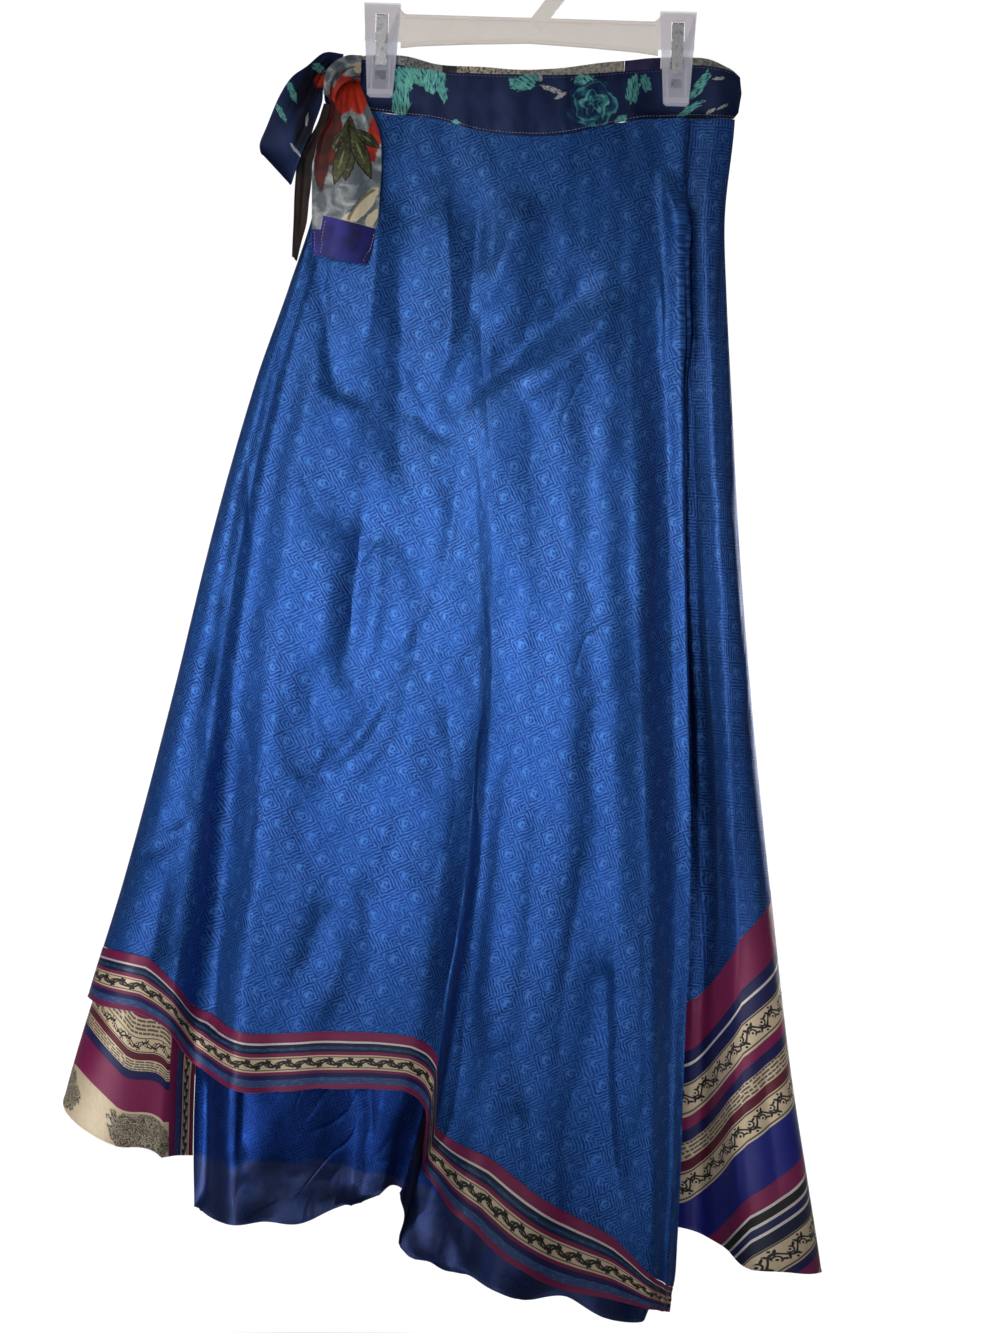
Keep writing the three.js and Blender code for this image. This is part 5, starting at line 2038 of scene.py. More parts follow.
# ---------------- sewing
@dataclass(frozen=True)
class StitchRun:
    """A row of stitches: their spacing, the gap between two, the thread's radius and how far a
    stitch rises, in millimetres, and how many steps and sides each stitch is made of."""

    name: str
    pitch: float = 3.2
    gap: float = 1.1
    radius: float = 0.24
    rise: float = 0.28
    steps: ClassVar[int] = 5
    sides: ClassVar[int] = 6
    # Radius at a stitch's two ends, as a share of its middle's.
    ends: ClassVar[float] = 0.45

    def build(self, path: np.ndarray, normal: np.ndarray) -> bpy.types.Object:
        """Lays the run along a path: six-sided threads that rise and sink as half a sine wave.

        Args:
            path: Points on the cloth, in millimetres.
            normal: The cloth's normals there.

        Returns:
            The stitches as one mesh.
        """
        arc = lengths_along(path, axis=0)
        count = int((arc[-1] - self.gap) // self.pitch)
        share = np.linspace(0, 1, self.steps)
        at = np.arange(count)[:, None] * self.pitch + self.gap + share * (self.pitch - self.gap)
        centre = np.stack([np.interp(at, arc, column) for column in path.T], axis=-1)
        up = np.stack([np.interp(at, arc, column) for column in normal.T], axis=-1)
        up /= np.linalg.norm(up, axis=-1, keepdims=True)
        side = np.cross(np.gradient(centre, axis=1), up)
        side /= np.linalg.norm(side, axis=-1, keepdims=True)
        lifted = centre + up * (np.sin(share * math.pi) * self.rise)[None, :, None]
        angle = np.linspace(0, math.tau, self.sides, endpoint=False)
        narrow = self.radius * (self.ends + (1 - self.ends) * np.sin(share * math.pi))[None, :, None, None]
        ring = up[:, :, None] * np.cos(angle)[:, None] + side[:, :, None] * np.sin(angle)[:, None]
        points = lifted[:, :, None] + ring * narrow
        index = np.arange(count * self.steps * self.sides).reshape(count, self.steps, self.sides)
        following = np.roll(index, -1, axis=2)
        walls = np.stack([index[:, :-1], following[:, :-1], following[:, 1:], index[:, 1:]], axis=-1)
        first, last = index[:, 0], index[:, -1]
        caps = [first[:, [3, 2, 1, 0]], first[:, [5, 4, 3, 0]], last[:, [0, 1, 2, 3]], last[:, [0, 3, 4, 5]]]
        piece = mesh_object(self.name, points * MM, np.concatenate([walls.reshape(-1, 4), *caps]))
        piece.data.shade_smooth()
        return piece


# ---------------- waistband
@dataclass(frozen=True)
class Pinch:
    """Where the clips' jaws press the two faces of the band together, in millimetres."""

    clip_x: float = 111.0
    half: float = 16.0
    ease: float = 20.0
    y: float = 1.9
    foot: float = -128.0

    def at(self, x: np.ndarray) -> np.ndarray:
        """1 between the jaws, 0 away from them."""
        return smooth(1 - (np.abs(np.abs(x) - self.clip_x) - self.half) / self.ease)


@dataclass(frozen=True)
class BandLength(Cloth):
    """One length of the waistband on one face, from ring place start to end."""

    start: float
    end: float
    face: Face
    columns: int


GREY_LENGTHS = (
    Length(-65, srgb(172, 174, 176), srgb(104, 108, 114)),
    Length(-54, srgb(30, 30, 36), srgb(60, 60, 70)),
    Length(-24, srgb(228, 222, 200), srgb(74, 70, 62)),
    Length(2, srgb(206, 202, 186), srgb(120, 120, 116)),
    Length(75, srgb(186, 186, 178), srgb(122, 124, 122)),
)
WAISTBAND_ROSES = RoseBand(
    "band_roses",
    blooms=(Bloom((48.5, -126), 18.5, 5),),
    brushed=(
        Patch((-93, -110), (9, 10), 8), Patch((-95, -127), (7, 14), -4), Patch((-82, -108), (10, 7), -12),
        Patch((-70, -112), (10, 10), -30), Patch((-64, -121), (3, 8), 18),
        Patch((-3, -111.5), (11, 6.5), 18), Patch((41, -109), (9, 5), 10),
        Patch((78, -113.5), (5.4, 11), -6), Patch((70, -136.5), (5, 3.4), 40),
        Patch((129, -108), (12, 3.8), 58), Patch((122, -126.5), (12, 2.6), 34),
        Patch((-53.5, -143.5), (3.2, 3.2)), Patch((88, -108), (4, 7), 15),
    ),
    pale=(
        Patch((142.5, -103.4), (4.6, 1.3), 4), Patch((137, -128), (4.2, 1.5), 30),
        Patch((146, -124.5), (5, 1.1), 28), Patch((17, -116), (9, 2), -18),
        Patch((24, -121), (5, 1.6), 30), Patch((9, -107), (1.6, 4)),
    ),
)


@dataclass(frozen=True)
class Waistband:
    """The band of doubled silk: roses in front, and behind two speckled lengths beside a patch.

    ring is the band's plan, from the left side fold round the front and the back. The patch lies
    between two places on X. At the side folds the band swells out by swell, from swell_from on.
    fold, seam and stitched_from are places on the ring: how far a length stays from a side fold
    and from the next length, and the front's stitches from its ends.
    """

    edges: WaistEdges = WaistEdges()
    pinch: Pinch = Pinch()
    ring: Layer = Layer((*FRONT[1:-3], *RIGHT_AND_BACK[2:], FRONT[1]))
    wall: float = 1.5
    gap: float = 0.65
    patch: tuple[float, float] = (99.0, 72.0)
    rows: int = 26
    swell: float = 5.0
    swell_from: float = 138.0
    swell_ease: float = 16.0
    fold: float = 0.08
    seam: float = 0.004
    stitched_from: float = 0.12
    clips: tuple[str, ...] = ("clip_front_left", "clip_front_right")
    # How much of the swell there is at shares of the way down to the jaws' foot.
    swell_rows: ClassVar[tuple[Triple, Triple]] = ((0, 0.45, 1), (0.7, 1, 0.6))
    # The pucker's height, its length, and how far it reaches from the seam and the upper edge.
    pucker: ClassVar[float] = 0.16
    pucker_length: ClassVar[float] = 8.3
    seam_reach: ClassVar[float] = 6.0
    edge_reach: ClassVar[float] = 5.0
    # How much of the slow unevenness the band takes.
    uneven: ClassVar[float] = 0.34
    ring_steps: ClassVar[int] = 4000
    stitched_steps: ClassVar[int] = 1200

    def ring_place(self, x: float) -> float:
        """Finds the back of the band on the ring.

        Args:
            x: A place on X.

        Returns:
            The place along the ring where the back stands at x.
        """
        s = np.linspace(self.ring.index("right_side"), len(self.ring.folds) - 1, self.ring_steps)
        found = self.ring.place(s, np.full_like(s, WAIST_Z))[:, 0]
        return float(s[np.abs(found - x).argmin()])

    def lengths(self) -> tuple[BandLength, ...]:
        """The four lengths of the band, kept a little apart.

        Returns:
            The lengths, the front one first.
        """
        fold, seam = self.fold, self.seam
        right, last = self.ring.index("right_side"), len(self.ring.folds) - 1
        start, end = (self.ring_place(x) for x in self.patch)
        return (
            BandLength(
                "band_front", "waistband_front", "rose_band", Cut(0.322, 0.0455, 0.0126),
                fold, right - fold, Face.FRONT, 330,
            ),
            BandLength(
                "band_back_right", "waistband_back_right", "grey_band", Cut(0.065, 0.047, 0.00267),
                right + fold, start - seam, Face.BACK, 60,
            ),
            BandLength(
                "band_back_patch", "waistband_back_patch", "navy_band", Cut(0.0278, 0.0465, 0.00128),
                start + seam, end - seam, Face.BACK, 26,
            ),
            BandLength(
                "band_back_left", "waistband_back_left", "grey_band", Cut(0.229, 0.0457, 0.00946),
                end + seam, last - fold, Face.BACK, 210,
            ),
        )

    def surface(self, s: np.ndarray, share: np.ndarray, face: Face) -> np.ndarray:
        """The band's outer face, in millimetres.

        Down to the jaws' foot it stands straight, pressed flat between the jaws and swollen at
        the side folds. From there it eases to the waist seam.

        Args:
            s: Places along the ring, one for each column.
            share: Shares from the upper edge to the seam, one for each row.
            face: Which face of the skirt.

        Returns:
            The points, [column, row, xyz].
        """
        base = self.ring.place(s, np.full_like(s, WAIST_Z))
        x, y = base[:, 0][:, None], base[:, 1][:, None]
        top = self.edges.curve(f"top_{face.value}")(x)
        seam = self.edges.curve(f"seam_{face.value}")(x) + self.gap
        z = lerp(top, seam, share[None, :])
        upper = np.clip((top - z) / (top - self.pinch.foot), 0, 1)
        lower = np.clip((self.pinch.foot - z) / (self.pinch.foot - seam), 0, 1)
        pressed = lerp(y, -self.pinch.y if face is Face.FRONT else self.pinch.y, self.pinch.at(x))
        swell = np.interp(upper, *self.swell_rows) * (1 - lower)
        out = self.swell * smooth((np.abs(x) - self.swell_from) / self.swell_ease) * np.sign(x)
        return np.stack([x + out * swell, lerp(pressed, y, smooth(lower)), z], axis=-1)

    def puckered(self, points: np.ndarray, share: np.ndarray) -> np.ndarray:
        """Puckers the band along its two edges and makes it slowly uneven, except between the jaws.

        Args:
            points: The band's outer face, in millimetres.
            share: Shares from the upper edge to the seam, one for each row.

        Returns:
            The moved points.
        """
        x, z = points[..., 0], points[..., 2]
        arc = lengths_along(points, axis=0)
        width = np.abs(points[:, :1, 2] - points[:, -1:, 2])
        above, below = share[None, :] * width, (1 - share[None, :]) * width
        edges = np.exp(-((below / self.seam_reach) ** 2)) + 0.6 * np.exp(-((above / self.edge_reach) ** 2))
        ripple = np.sin(arc / self.pucker_length * math.tau + np.sin(arc / 31) * 2) * self.pucker * edges
        lift = (ripple + drift(x * 2.4, z * 3, 0.8) * self.uneven) * (1 - self.pinch.at(x))
        return points + grid_normals(points) * lift[..., None]

    def build(self) -> None:
        """Makes the four lengths and the rows of stitches along the front one."""
        finishes = (
            WAISTBAND_ROSES,
            PiecedBand("band_grey_right", (replace(GREY_LENGTHS[-1], end=160),)),
            PlainSilk("band_navy_patch", srgb(44, 40, 88), srgb(30, 30, 72)),
            PiecedBand("band_grey_left", GREY_LENGTHS),
        )
        share = np.linspace(0, 1, self.rows)
        for part, finish in zip(self.lengths(), finishes):
            plain = self.surface(np.linspace(part.start, part.end, part.columns), share, part.face)
            arc = lengths_along(plain, axis=0)[:, :1]
            arc = arc - arc[np.abs(plain[:, 0, 0]).argmin()]
            flat = np.stack([np.repeat(arc, self.rows, axis=1), -plain[..., 2]], axis=-1)
            thick = np.full(flat.shape[:2], self.wall)
            part.make(self.puckered(plain, share), flat, thick, finish.build(), list(self.clips), "stretched")
        self.sew()

    def sew(self) -> None:
        """Topstitches the front length along its seam and its upper edge."""
        part = self.lengths()[0]
        s = np.linspace(part.start + self.stitched_from, part.end - self.stitched_from, self.stitched_steps)
        share = np.linspace(0, 1, self.rows)
        points = self.puckered(self.surface(s, share, Face.FRONT), share)
        normal = grid_normals(points)
        seam = StitchRun("band_seam_stitches", pitch=2.5, gap=0.9, radius=0.19, rise=0.22)
        edge = StitchRun("band_edge_stitches", pitch=2.8, radius=0.18, rise=0.2)
        pale = Thread("thread_pale_blue", srgb(196, 204, 222))
        grey = Thread("thread_grey_blue", srgb(112, 124, 158))
        for run, row, thread in ((seam, -2, pale), (edge, 1, grey)):
            settle(run.build(points[:, row], normal[:, row]), [], part.slot, thread.build())


# ---------------- ties
Station = tuple[Triple, Triple, float]


@dataclass(frozen=True)
class TieCrease:
    """A crease along a ribbon.

    across holds its share of the ribbon's width where it starts and ends, and along its first
    and last station. half is its half width as a share of the ribbon's, and height how far it
    stands out in millimetres, under 0 for a trough.
    """

    across: tuple[float, float]
    along: tuple[float, float]
    half: float
    height: float

    def lift(self, u: np.ndarray, w: np.ndarray) -> np.ndarray:
        """How far the crease lifts each place: a bell curve across, faded in and out along it.

        Args:
            u: Places along the stations.
            w: Shares across.

        Returns:
            The lift, in millimetres.
        """
        share = (u - self.along[0]) / (self.along[1] - self.along[0])
        centre = lerp(*self.across, np.clip(share, 0, 1))
        strength = smooth(share * 4) * smooth((1 - share) * 4)
        return self.height * strength * np.exp(-(((w - centre) / self.half) ** 2))


@dataclass(frozen=True)
class Ribbon(Cloth):
    """A strip of the tie through stations, each with its left edge, right edge and bow."""

    stations: tuple[Station, ...]
    creases: tuple[TieCrease, ...] = ()
    rows: int = 90
    columns: int = 44
    wall: float = 1.1
    # How high the edges are rolled, and how far in from them.
    roll: ClassVar[float] = 0.35
    roll_share: ClassVar[float] = 0.03

    def surface(self, u: np.ndarray, w: np.ndarray) -> np.ndarray:
        """Points of the strip's middle, between two smooth edges, bowed forward as 4w(1 - w).

        Args:
            u: Places along the stations.
            w: Shares across, of the same shape.

        Returns:
            The points, with a last axis of x, y and z.
        """
        left, right, bows = zip(*self.stations)
        points = lerp(curves_through(left, u), curves_through(right, u), w[..., None])
        points[..., 1] -= table_curve(range(len(bows)), bows)(u) * 4 * w * (1 - w)
        return points

    def grid(self) -> tuple[np.ndarray, np.ndarray]:
        """The strip's form, with its creases and its two edges a little rolled.

        Returns:
            Its outer points and its flat coordinates, [column, row], in millimetres.
        """
        across, along = np.linspace(0, 1, self.columns), np.linspace(0, len(self.stations) - 1, self.rows)
        w, u = np.meshgrid(across, along, indexing="ij")
        plain = self.surface(u, w)
        rolled = np.exp(-((w * (1 - w) / self.roll_share) ** 2)) * self.roll
        lift = self.wall / 2 + lift_of(self.creases, u, w) + rolled
        outer = plain + grid_normals(plain) * lift[..., None]
        return outer, np.stack([lengths_along(plain, axis=0), lengths_along(plain, axis=1)], axis=-1)

    def build(self, finish: bpy.types.Material, rests_on: Sequence[str]) -> None:
        """Makes the strip with a finish."""
        outer, flat = self.grid()
        self.make(outer, flat, np.full(outer.shape[:2], self.wall), finish, rests_on, "draped")


COLLAR = Ribbon(
    "tie_collar_wrap", "tie_collar", "tie_print", Cut(0.051, 0.0237, 0.00072),
    (
        ((-144, -14.5, -131), (-152.2, -12.5, -125), 0), ((-143, -16.5, -124), (-151.6, -13, -111), 1.5),
        ((-139, -17, -118), (-146.5, -13, -102.5), 2), ((-132.4, -15.5, -114.5), (-136.5, -10, -95.8), 1.5),
        ((-125.8, -12, -115.5), (-125.6, -3.3, -94.2), 0.5),
    ),
    (
        TieCrease((0.35, 0.3), (-1, 5), 0.08, -0.9), TieCrease((0.6, 0.62), (-1, 5), 0.07, -0.7),
        TieCrease((0.8, 0.84), (0.6, 5), 0.06, -0.5), TieCrease((0.48, 0.46), (-1, 5), 0.09, 0.5),
    ),
    rows=70, columns=40,
)
FRONT_TAIL = Ribbon(
    "tie_front_tail", "tie_tail_front", "tie_print", Cut(0.121, 0.043, 0.00394),
    (
        ((-139.5, -5, -112), (-128.5, -3.2, -111), 0), ((-145, -13, -131), (-120.5, -12, -129.7), 1),
        ((-144.5, -17, -157), (-110.5, -14.5, -153), 3), ((-147, -18.5, -176.5), (-108.3, -15, -172), 4),
        ((-150, -19, -195), (-108.3, -15.5, -190.5), 4),
        ((-149.5, -19.5, -216.2), (-109.5, -16.5, -225.1), 4),
    ),
    (
        TieCrease((0.5, 0.36), (0.3, 2.4), 0.06, -1.5), TieCrease((0.75, 0.72), (0.2, 2.6), 0.06, -1.1),
        TieCrease((0.3, 0.12), (0.4, 3.2), 0.05, -0.7), TieCrease((0.62, 0.56), (0.3, 2.2), 0.08, 0.8),
        TieCrease((0.22, 0.2), (0.3, 2.0), 0.08, 0.7), TieCrease((0.86, 0.9), (1.0, 3.6), 0.06, -0.8),
        TieCrease((0.45, 0.6), (2.6, 5.6), 0.14, 0.7), TieCrease((0.14, 0.3), (3.4, 5.6), 0.1, -0.8),
        TieCrease((0.7, 0.86), (3.2, 5.2), 0.08, -0.5),
    ),
    rows=150, columns=64,
)
FRONT_END = Ribbon(
    "tie_front_end", "tie_tail_front_end", "tie_end", Cut(0.0425, 0.03, 0.00118),
    (
        ((-149.6, -19.5, -216.6), (-109.6, -16.5, -225.6), 4),
        ((-152, -20, -232.7), (-112.2, -18, -239.2), 3.5),
        ((-153.9, -20, -246.3), (-117.7, -19, -251.9), 3),
    ),
    (TieCrease((0.28, 0.2), (-1, 3), 0.1, -0.6),),
    rows=40,
)
BACK_TAIL = Ribbon(
    "tie_back_tail", "tie_tail_back", "tie_print", Cut(0.113, 0.035, 0.00314),
    (
        ((-146, -5.8, -120), (-137, -4.7, -118), 0), ((-147.6, -10.5, -141), (-128, -10.5, -140), 0),
        ((-155, -12, -156.3), (-125, -11.5, -156), 0), ((-158.9, -13, -177.4), (-124, -12, -176), 1),
        ((-159.2, -13.6, -193.2), (-124, -12.6, -195), 1), ((-158.2, -14.4, -226.1), (-126, -14, -228), 1),
    ),
    (TieCrease((0.14, 0.1), (0.6, 3.4), 0.05, -0.9),),
)
BACK_END = Ribbon(
    "tie_back_end", "tie_tail_back_end", "tie_end", Cut(0.0325, 0.0195, 0.00056),
    (
        ((-158.2, -14.4, -226.6), (-126, -14, -228.5), 1), ((-158, -14.8, -236), (-128, -14.6, -238), 1),
        ((-157.6, -15.2, -245), (-131, -15, -247), 1),
    ),
    rows=30, columns=30,
)
DARK_STRIP = Ribbon(
    "tie_dark_strip", "tie_strip_dark", "tie_dark", Cut(0.12, 0.0123, 0.00098),
    (
        ((-151.6, -8.4, -131.5), (-147.4, -8.4, -132.5), 0), ((-156.1, -9, -146.5), (-150.8, -9, -148.6), 0),
        ((-162.5, -9, -158.7), (-154.9, -9, -160), 0), ((-170, -9, -173.2), (-159.8, -9, -174.4), 0),
        ((-171.6, -9, -188.3), (-160.4, -9, -189.4), 0), ((-172, -9.5, -203.3), (-161.9, -9.5, -204.5), 0),
        ((-171.9, -10, -218.3), (-163.2, -10, -221), 0), ((-171.9, -11, -233.3), (-166.9, -11, -236.1), 0),
        ((-171.8, -12, -247), (-169.9, -12, -250), 0),
    ),
    (TieCrease((0.5, 0.6), (1, 7), 0.16, -0.6),), rows=80, columns=18,
)
WIDE_LOOP = Ribbon(
    "tie_wide_loop", "tie_loop", "rose_band", Cut(0.162, 0.034, 0.00413),
    (
        ((-139, -5.2, -94), (-141, -5.2, -104), 0), ((-153.1, -7, -93.4), (-149.5, -8.4, -109), 0),
        ((-165.6, -9.5, -104), (-153.4, -9.4, -121), 0), ((-177, -12, -113.4), (-154, -12.4, -132), 1),
        ((-185.9, -12.5, -128.7), (-159.6, -14.5, -150), 2), ((-194, -11.5, -150), (-167, -14.5, -168), 3),
        ((-199, -10, -163), (-171.4, -13.5, -181), 2), ((-197.5, -7.5, -170), (-175, -10.5, -192.5), 0),
        ((-195.5, -4, -166), (-175, -5.5, -187), 0), ((-184, -2.5, -152), (-166, -3.6, -169), 0),
        ((-167, -2.6, -132), (-158, -3.4, -140), 0),
    ),
    (
        TieCrease((0.4, 0.5), (0.2, 4.4), 0.07, -1.4), TieCrease((0.66, 0.74), (0.2, 4.0), 0.06, -1.2),
        TieCrease((0.2, 0.24), (0.8, 5.0), 0.08, -1.0), TieCrease((0.54, 0.62), (0.2, 4.4), 0.07, 0.9),
        TieCrease((0.85, 0.8), (2.0, 5.4), 0.05, -0.8),
    ),
    rows=200, columns=54,
)
TIE_LEAVES = LeafTie(
    "tie_leaf_print",
    reds=(
        Patch((-137, -125), (9, 14)), Patch((-126, -126), (7, 13)), Patch((-112.5, -152), (24, 5.5), 80),
    ),
    shades=(
        Patch((-131, -122), (8, 9)), Patch((-147, -150), (32, 8.5), 86), Patch((-152, -172), (24, 6), 88),
    ),
    bones=(
        Patch((-127.5, -104), (4, 4.5)), Patch((-111, -162), (2.6, 3.4)),
        Patch((-120, -208), (17, 5), 54), Patch((-128, -216), (10, 3.4), 30),
        Patch((-114, -218), (8, 3.4), 62),
    ),
    lobes=(
        Patch((-133, -166), (26, 7.8), 88), Patch((-124, -168), (23, 6.2), 114),
        Patch((-137.5, -174), (21, 6), 76), Patch((-141, -160), (10, 3.8), 62),
        Patch((-119, -158), (12, 4.6), 146),
    ),
    lines=(
        Patch((-124, -206), (17, 2.2), 52), Patch((-136, -222), (12, 1.3), 12),
        Patch((-138, -108), (10, 1.4), 40), Patch((-146, -116), (9, 1.3), 70),
        Patch((-131, -112), (8, 1.2), 20), Patch((-133, -126), (7, 1.5), 88),
    ),
)
LOOP_ROSES = RoseBand(
    "loop_roses",
    brushed=(
        Patch((-176.5, -123.5), (10, 2.4), 112), Patch((-184, -140), (8, 2), 122),
        Patch((-157, -105), (6, 3), 150),
    ),
    pale=(Patch((-164.5, -145), (5, 1.1), 84), Patch((-172, -168), (7, 1.2), 130)),
    # The dark marks are painted shade inside the loop, beside the knot.
    dark=(Patch((-163, -120), (20, 9), 60), Patch((-166, -150), (16, 7), 80)),
    red=(Patch((-156, -114), (5, 4), 80),),
)


@dataclass(frozen=True)
class TieSeam:
    """A row of stitches between two places on a strip, each a station and a share across."""

    ribbon: Ribbon
    start: tuple[float, float]
    end: tuple[float, float]

    def sew(self, name: str, thread: bpy.types.Material) -> None:
        """Sews the row.

        Args:
            name: The stitches' name.
            thread: Their material.
        """
        ribbon, steps = self.ribbon, np.linspace(0, 1, 120)
        station, across = (lerp(start, end, steps) for start, end in zip(self.start, self.end))
        row = np.round(station / (len(ribbon.stations) - 1) * (ribbon.rows - 1)).astype(int)
        column = np.round(across * (ribbon.columns - 1)).astype(int)
        outer, _ = ribbon.grid()
        run = StitchRun(name, pitch=2.6, gap=0.9, radius=0.2)
        settle(run.build(outer[column, row], grid_normals(outer)[column, row]), [], ribbon.slot, thread)


@dataclass(frozen=True)
class Ties:
    """The tie knotted round the left clip: collar, loop, two tails with end blocks, dark strip."""

    printed: tuple[Ribbon, ...] = (COLLAR, FRONT_TAIL, BACK_TAIL)
    ends: tuple[tuple[Ribbon, Ribbon], ...] = ((FRONT_END, FRONT_TAIL), (BACK_END, BACK_TAIL))
    seams: tuple[TieSeam, ...] = (
        TieSeam(FRONT_TAIL, (5.0, 0.02), (5.0, 0.98)), TieSeam(FRONT_END, (0.16, 0.04), (1.96, 0.07)),
        TieSeam(FRONT_END, (0.2, 0.96), (1.96, 0.93)), TieSeam(BACK_END, (0.1, 0.05), (1.9, 0.09)),
    )

    def build(self) -> None:
        """Makes every strip, and the stitches on the ends' seams."""
        clip = ["clip_front_left"]
        leaves = TIE_LEAVES.build()
        for ribbon in self.printed:
            ribbon.build(leaves, clip)
        end_silk = PlainSilk("tie_end_silk", srgb(42, 44, 128), srgb(28, 28, 84)).build()
        for ribbon, holder in self.ends:
            ribbon.build(end_silk, [holder.name])
        DARK_STRIP.build(PlainSilk("tie_dark_silk", srgb(46, 36, 30), srgb(18, 16, 18)).build(), clip)
        WIDE_LOOP.build(LOOP_ROSES.build(), clip)
        pale = Thread("thread_tie_pale", srgb(208, 190, 190)).build()
        for number, seam in enumerate(self.seams):
            seam.sew(f"tie_stitches_{number}", pale)


# ---------------- hanger
@dataclass(frozen=True)
class Moulded:
    """A part of the hanger: a copy of the CAD node that it stands for, with rounded edges."""

    name: str
    node: str
    slot: str
    radius: float
    corner: ClassVar[float] = math.radians(35)

    def build(self, finish: bpy.types.Material) -> None:
        """Merges a copy of the node's mesh and rounds its edges.

        Args:
            finish: Its material.
        """
        source = bpy.data.objects[self.node]
        mesh = source.data.copy()
        mesh.transform(source.matrix_world)
        work = bmesh.new()
        work.from_mesh(mesh)
        bmesh.ops.remove_doubles(work, verts=work.verts, dist=1e-6)
        bmesh.ops.dissolve_limit(work, angle_limit=math.radians(1), verts=work.verts, edges=work.edges)
        work.to_mesh(mesh)
        work.free()
        piece = linked(self.name, mesh)
        bevel = piece.modifiers.new("rounded edges", "BEVEL")
        bevel.width = self.radius * MM
        bevel.segments = 2
        bevel.limit_method = "ANGLE"
        bevel.angle_limit = self.corner
        bevel.harden_normals = True
        mesh.shade_smooth()
        mesh.set_sharp_from_angle(angle=self.corner)
        settle(piece, [self.node], self.slot, finish)


@dataclass(frozen=True)
class Hanger:
    """The clear plastic hanger: hook and bar, two tapered clips and their steel springs."""

    rounding: float = 0.35
    spring_rounding: float = 0.15

    def build(self) -> None:
        """Makes the hanger's parts."""
        plastic = "clear_plastic"
        frosted = FrostedPlastic("frosted_plastic", srgb(222, 208, 198), 0.45, 0.14).build()
        clear = FrostedPlastic("clip_plastic", srgb(222, 224, 240), 0.34, 0.25).build()
        steel = SpringSteel("spring_steel").build()
        Moulded("hanger_moulding", "hanger_frame", plastic, self.rounding).build(frosted)
        for side in ("left", "right"):
            for face in ("front", "back"):
                name, node = f"clip_{face}_{side}", f"clip_jaw_{face}_{side}"
                Moulded(name, node, plastic, self.rounding).build(clear)
            spring = Moulded(f"spring_{side}", f"clip_spring_{side}", "spring_steel", self.spring_rounding)
            spring.build(steel)


# ---------------- studio
@dataclass(frozen=True)
class Lamp:
    """A square area light turned to a place, narrowed to a cone by a grid in front of it."""

    name: str
    place: Triple
    aim: Triple
    size: float
    watts: float
    spread: float = 180.0
    tint: Colour = (1.0, 1.0, 1.0)

    def build(self) -> None:
        """Adds the lamp to the scene."""
        data = bpy.data.lights.new(self.name, "AREA")
        data.size = self.size
        data.energy = self.watts
        data.color = self.tint
        data.spread = math.radians(self.spread)
        x, y, z = np.array(self.aim) - np.array(self.place)
        lamp = linked(self.name, data)
        lamp.location = self.place
        tilt, turn = math.atan2(z, math.hypot(x, y)), math.atan2(y, x)
        lamp.rotation_euler = (math.pi / 2 + tilt, 0, turn - math.pi / 2)


KNEE = (-0.1, 0.0, -0.5)
MIDDLE = (-0.02, 0.0, -0.55)
WARM = (1.0, 0.8, 0.58)
LAMPS = (
    Lamp("key", (-2.3, -2.1, -0.45), (-0.1, 0.0, -0.6), 0.45, 0.4, 17),
    Lamp("front", (-0.62, -2.75, -0.55), KNEE, 0.4, 0.34, 17),
    Lamp("upper", (-1.6, -2.3, 0.2), (0.04, 0.0, -0.37), 0.35, 0.22, 12, WARM),
    Lamp("over", (-0.3, -1.6, 1.5), (0.0, 0.0, 0.04), 0.3, 0.04, 10, WARM),
    Lamp("low_left", (-1.7, -1.9, -1.0), (-0.36, 0.0, -0.93), 0.2, 0.1, 9),
    Lamp("low_right", (1.3, -2.5, -0.7), (0.21, 0.0, -0.86), 0.2, 0.07, 9),
    Lamp("fill", (-0.6, -3.0, 0.0), MIDDLE, 1.6, 6),
    Lamp("fill_right", (2.6, -1.2, 0.1), MIDDLE, 1.2, 5),
    Lamp("behind", (0.4, 2.6, 0.8), MIDDLE, 2.0, 30),
    Lamp("behind_key", (1.5, 2.4, -0.4), KNEE, 0.5, 0.4, 18),
)


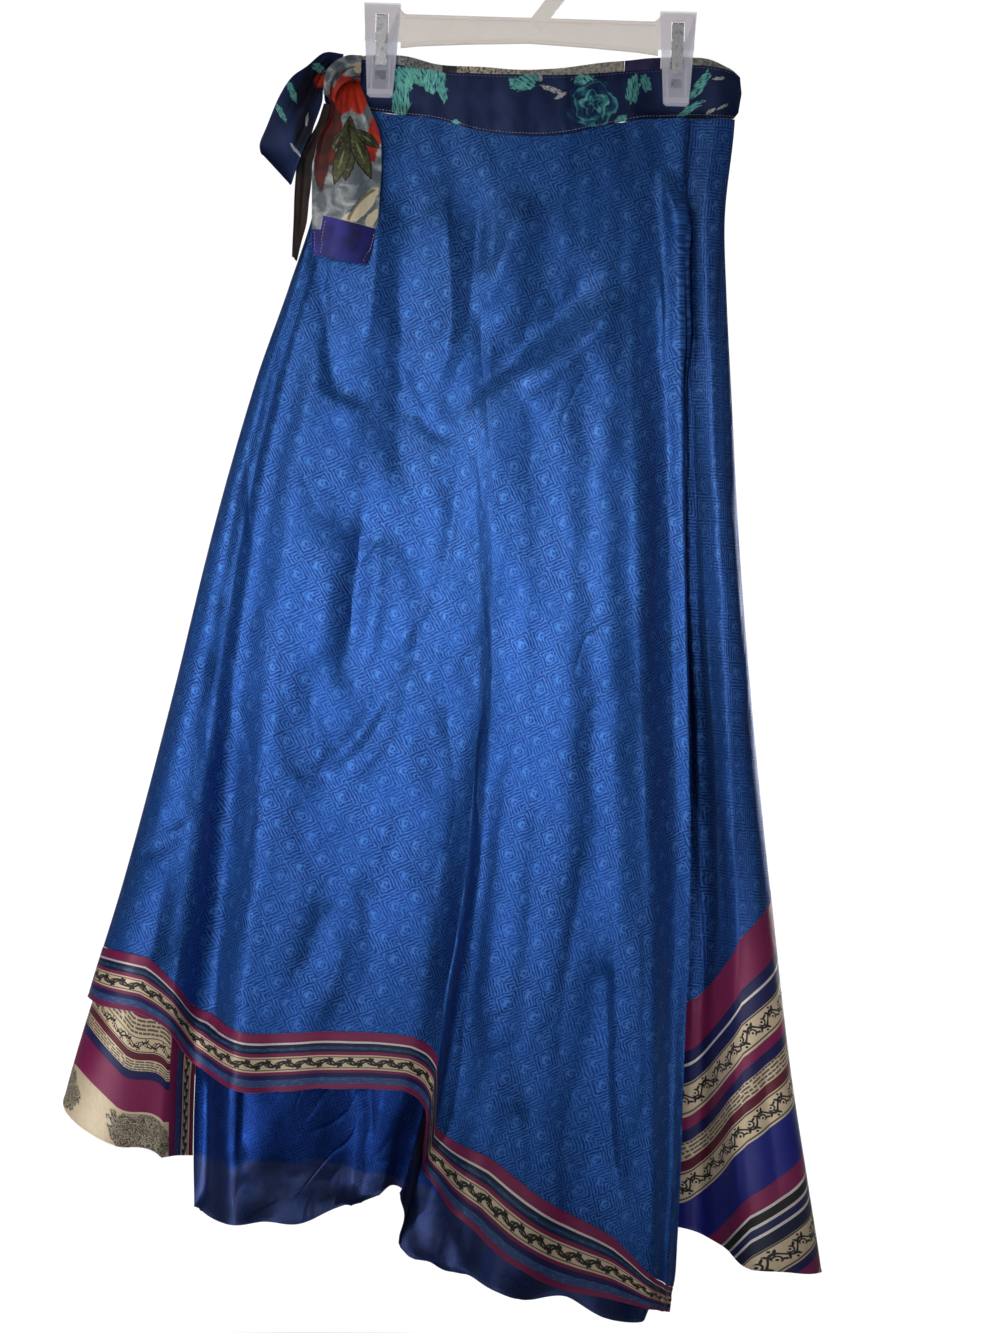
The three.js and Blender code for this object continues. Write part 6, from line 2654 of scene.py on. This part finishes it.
@dataclass(frozen=True)
class Studio:
    """Camera, lights, world and floor, in metres.

    roll is the small turn that the hanger hangs at, in degrees. world is the light that reaches
    the skirt from all round, and what the camera sees behind it is a plain white.
    """

    camera_place: Triple = (-0.0083, -3.0, -0.5485)
    lens: float = 108.0
    sensor: float = 36.0
    roll: float = -1.7
    world_strength: float = 0.05
    seen_strength: float = 0.98
    floor_z: float = -1.25
    floor_y: float = 0.2
    floor_corners: int = 64

    def camera(self) -> None:
        """Looks at the front squarely."""
        data = bpy.data.cameras.new("camera")
        data.lens = self.lens
        data.sensor_fit = "VERTICAL"
        data.sensor_height = self.sensor
        data.clip_end = 20
        camera = linked("camera", data)
        camera.location = self.camera_place
        camera.rotation_euler = (math.pi / 2, math.radians(self.roll), 0)
        bpy.context.scene.camera = camera

    def world(self) -> None:
        """White to the camera, and a twentieth of that to the skirt."""
        world = bpy.data.worlds.new("studio")
        world.use_nodes = True
        tree = world.node_tree
        tree.nodes.clear()
        graph = Graph(tree)
        background, leave = graph.add("ShaderNodeBackground"), graph.add("ShaderNodeOutputWorld")
        seen = Port(graph, graph.add("ShaderNodeLightPath").outputs["Is Camera Ray"])
        background.inputs["Color"].default_value = (1, 1, 1, 1)
        graph.feed(background.inputs["Strength"], seen * self.seen_strength + self.world_strength)
        tree.links.new(background.outputs["Background"], leave.inputs["Surface"])
        bpy.context.scene.world = world

    def floor(self) -> None:
        """A plain pale disc under the skirt, out of the main picture, that throws no light on it."""
        count = self.floor_corners
        angle = np.linspace(0, math.tau, count, endpoint=False)
        rim = np.stack([np.cos(angle), np.sin(angle) + self.floor_y, np.full(count, self.floor_z)], axis=-1)
        disc = mesh_object("floor", rim, np.arange(count)[None])
        disc.visible_diffuse = False
        disc.visible_glossy = False
        glow = {"Specular IOR Level": 0.2, "Emission Color": (1, 1, 1, 1), "Emission Strength": 0.55}
        surface = Surface("pale_floor", glow)
        graph = surface.graph
        grain = graph.noise(graph.object_place(), 90, 2)
        colour = graph.mix(grain, srgb(236, 236, 236), srgb(228, 228, 228))
        disc.data.materials.append(surface.finish(colour, grain * 0.1 + 0.8, grain, depth=0.0002))

    def build(self) -> None:
        """Sets the whole studio."""
        self.camera()
        self.world()
        self.floor()
        for lamp in LAMPS:
            lamp.build()
        bpy.context.scene.view_settings.view_transform = "Standard"


# ---------------- the whole
def main() -> None:
    """Builds the hanger, the ties, the waistband, the skirt and the studio, in that order."""
    logging.basicConfig(level=logging.INFO, format="%(name)s: %(message)s")
    for part in (Hanger(), Ties(), Waistband(), Skirt(), Studio()):
        part.build()


if __name__ == "__main__":
    main()
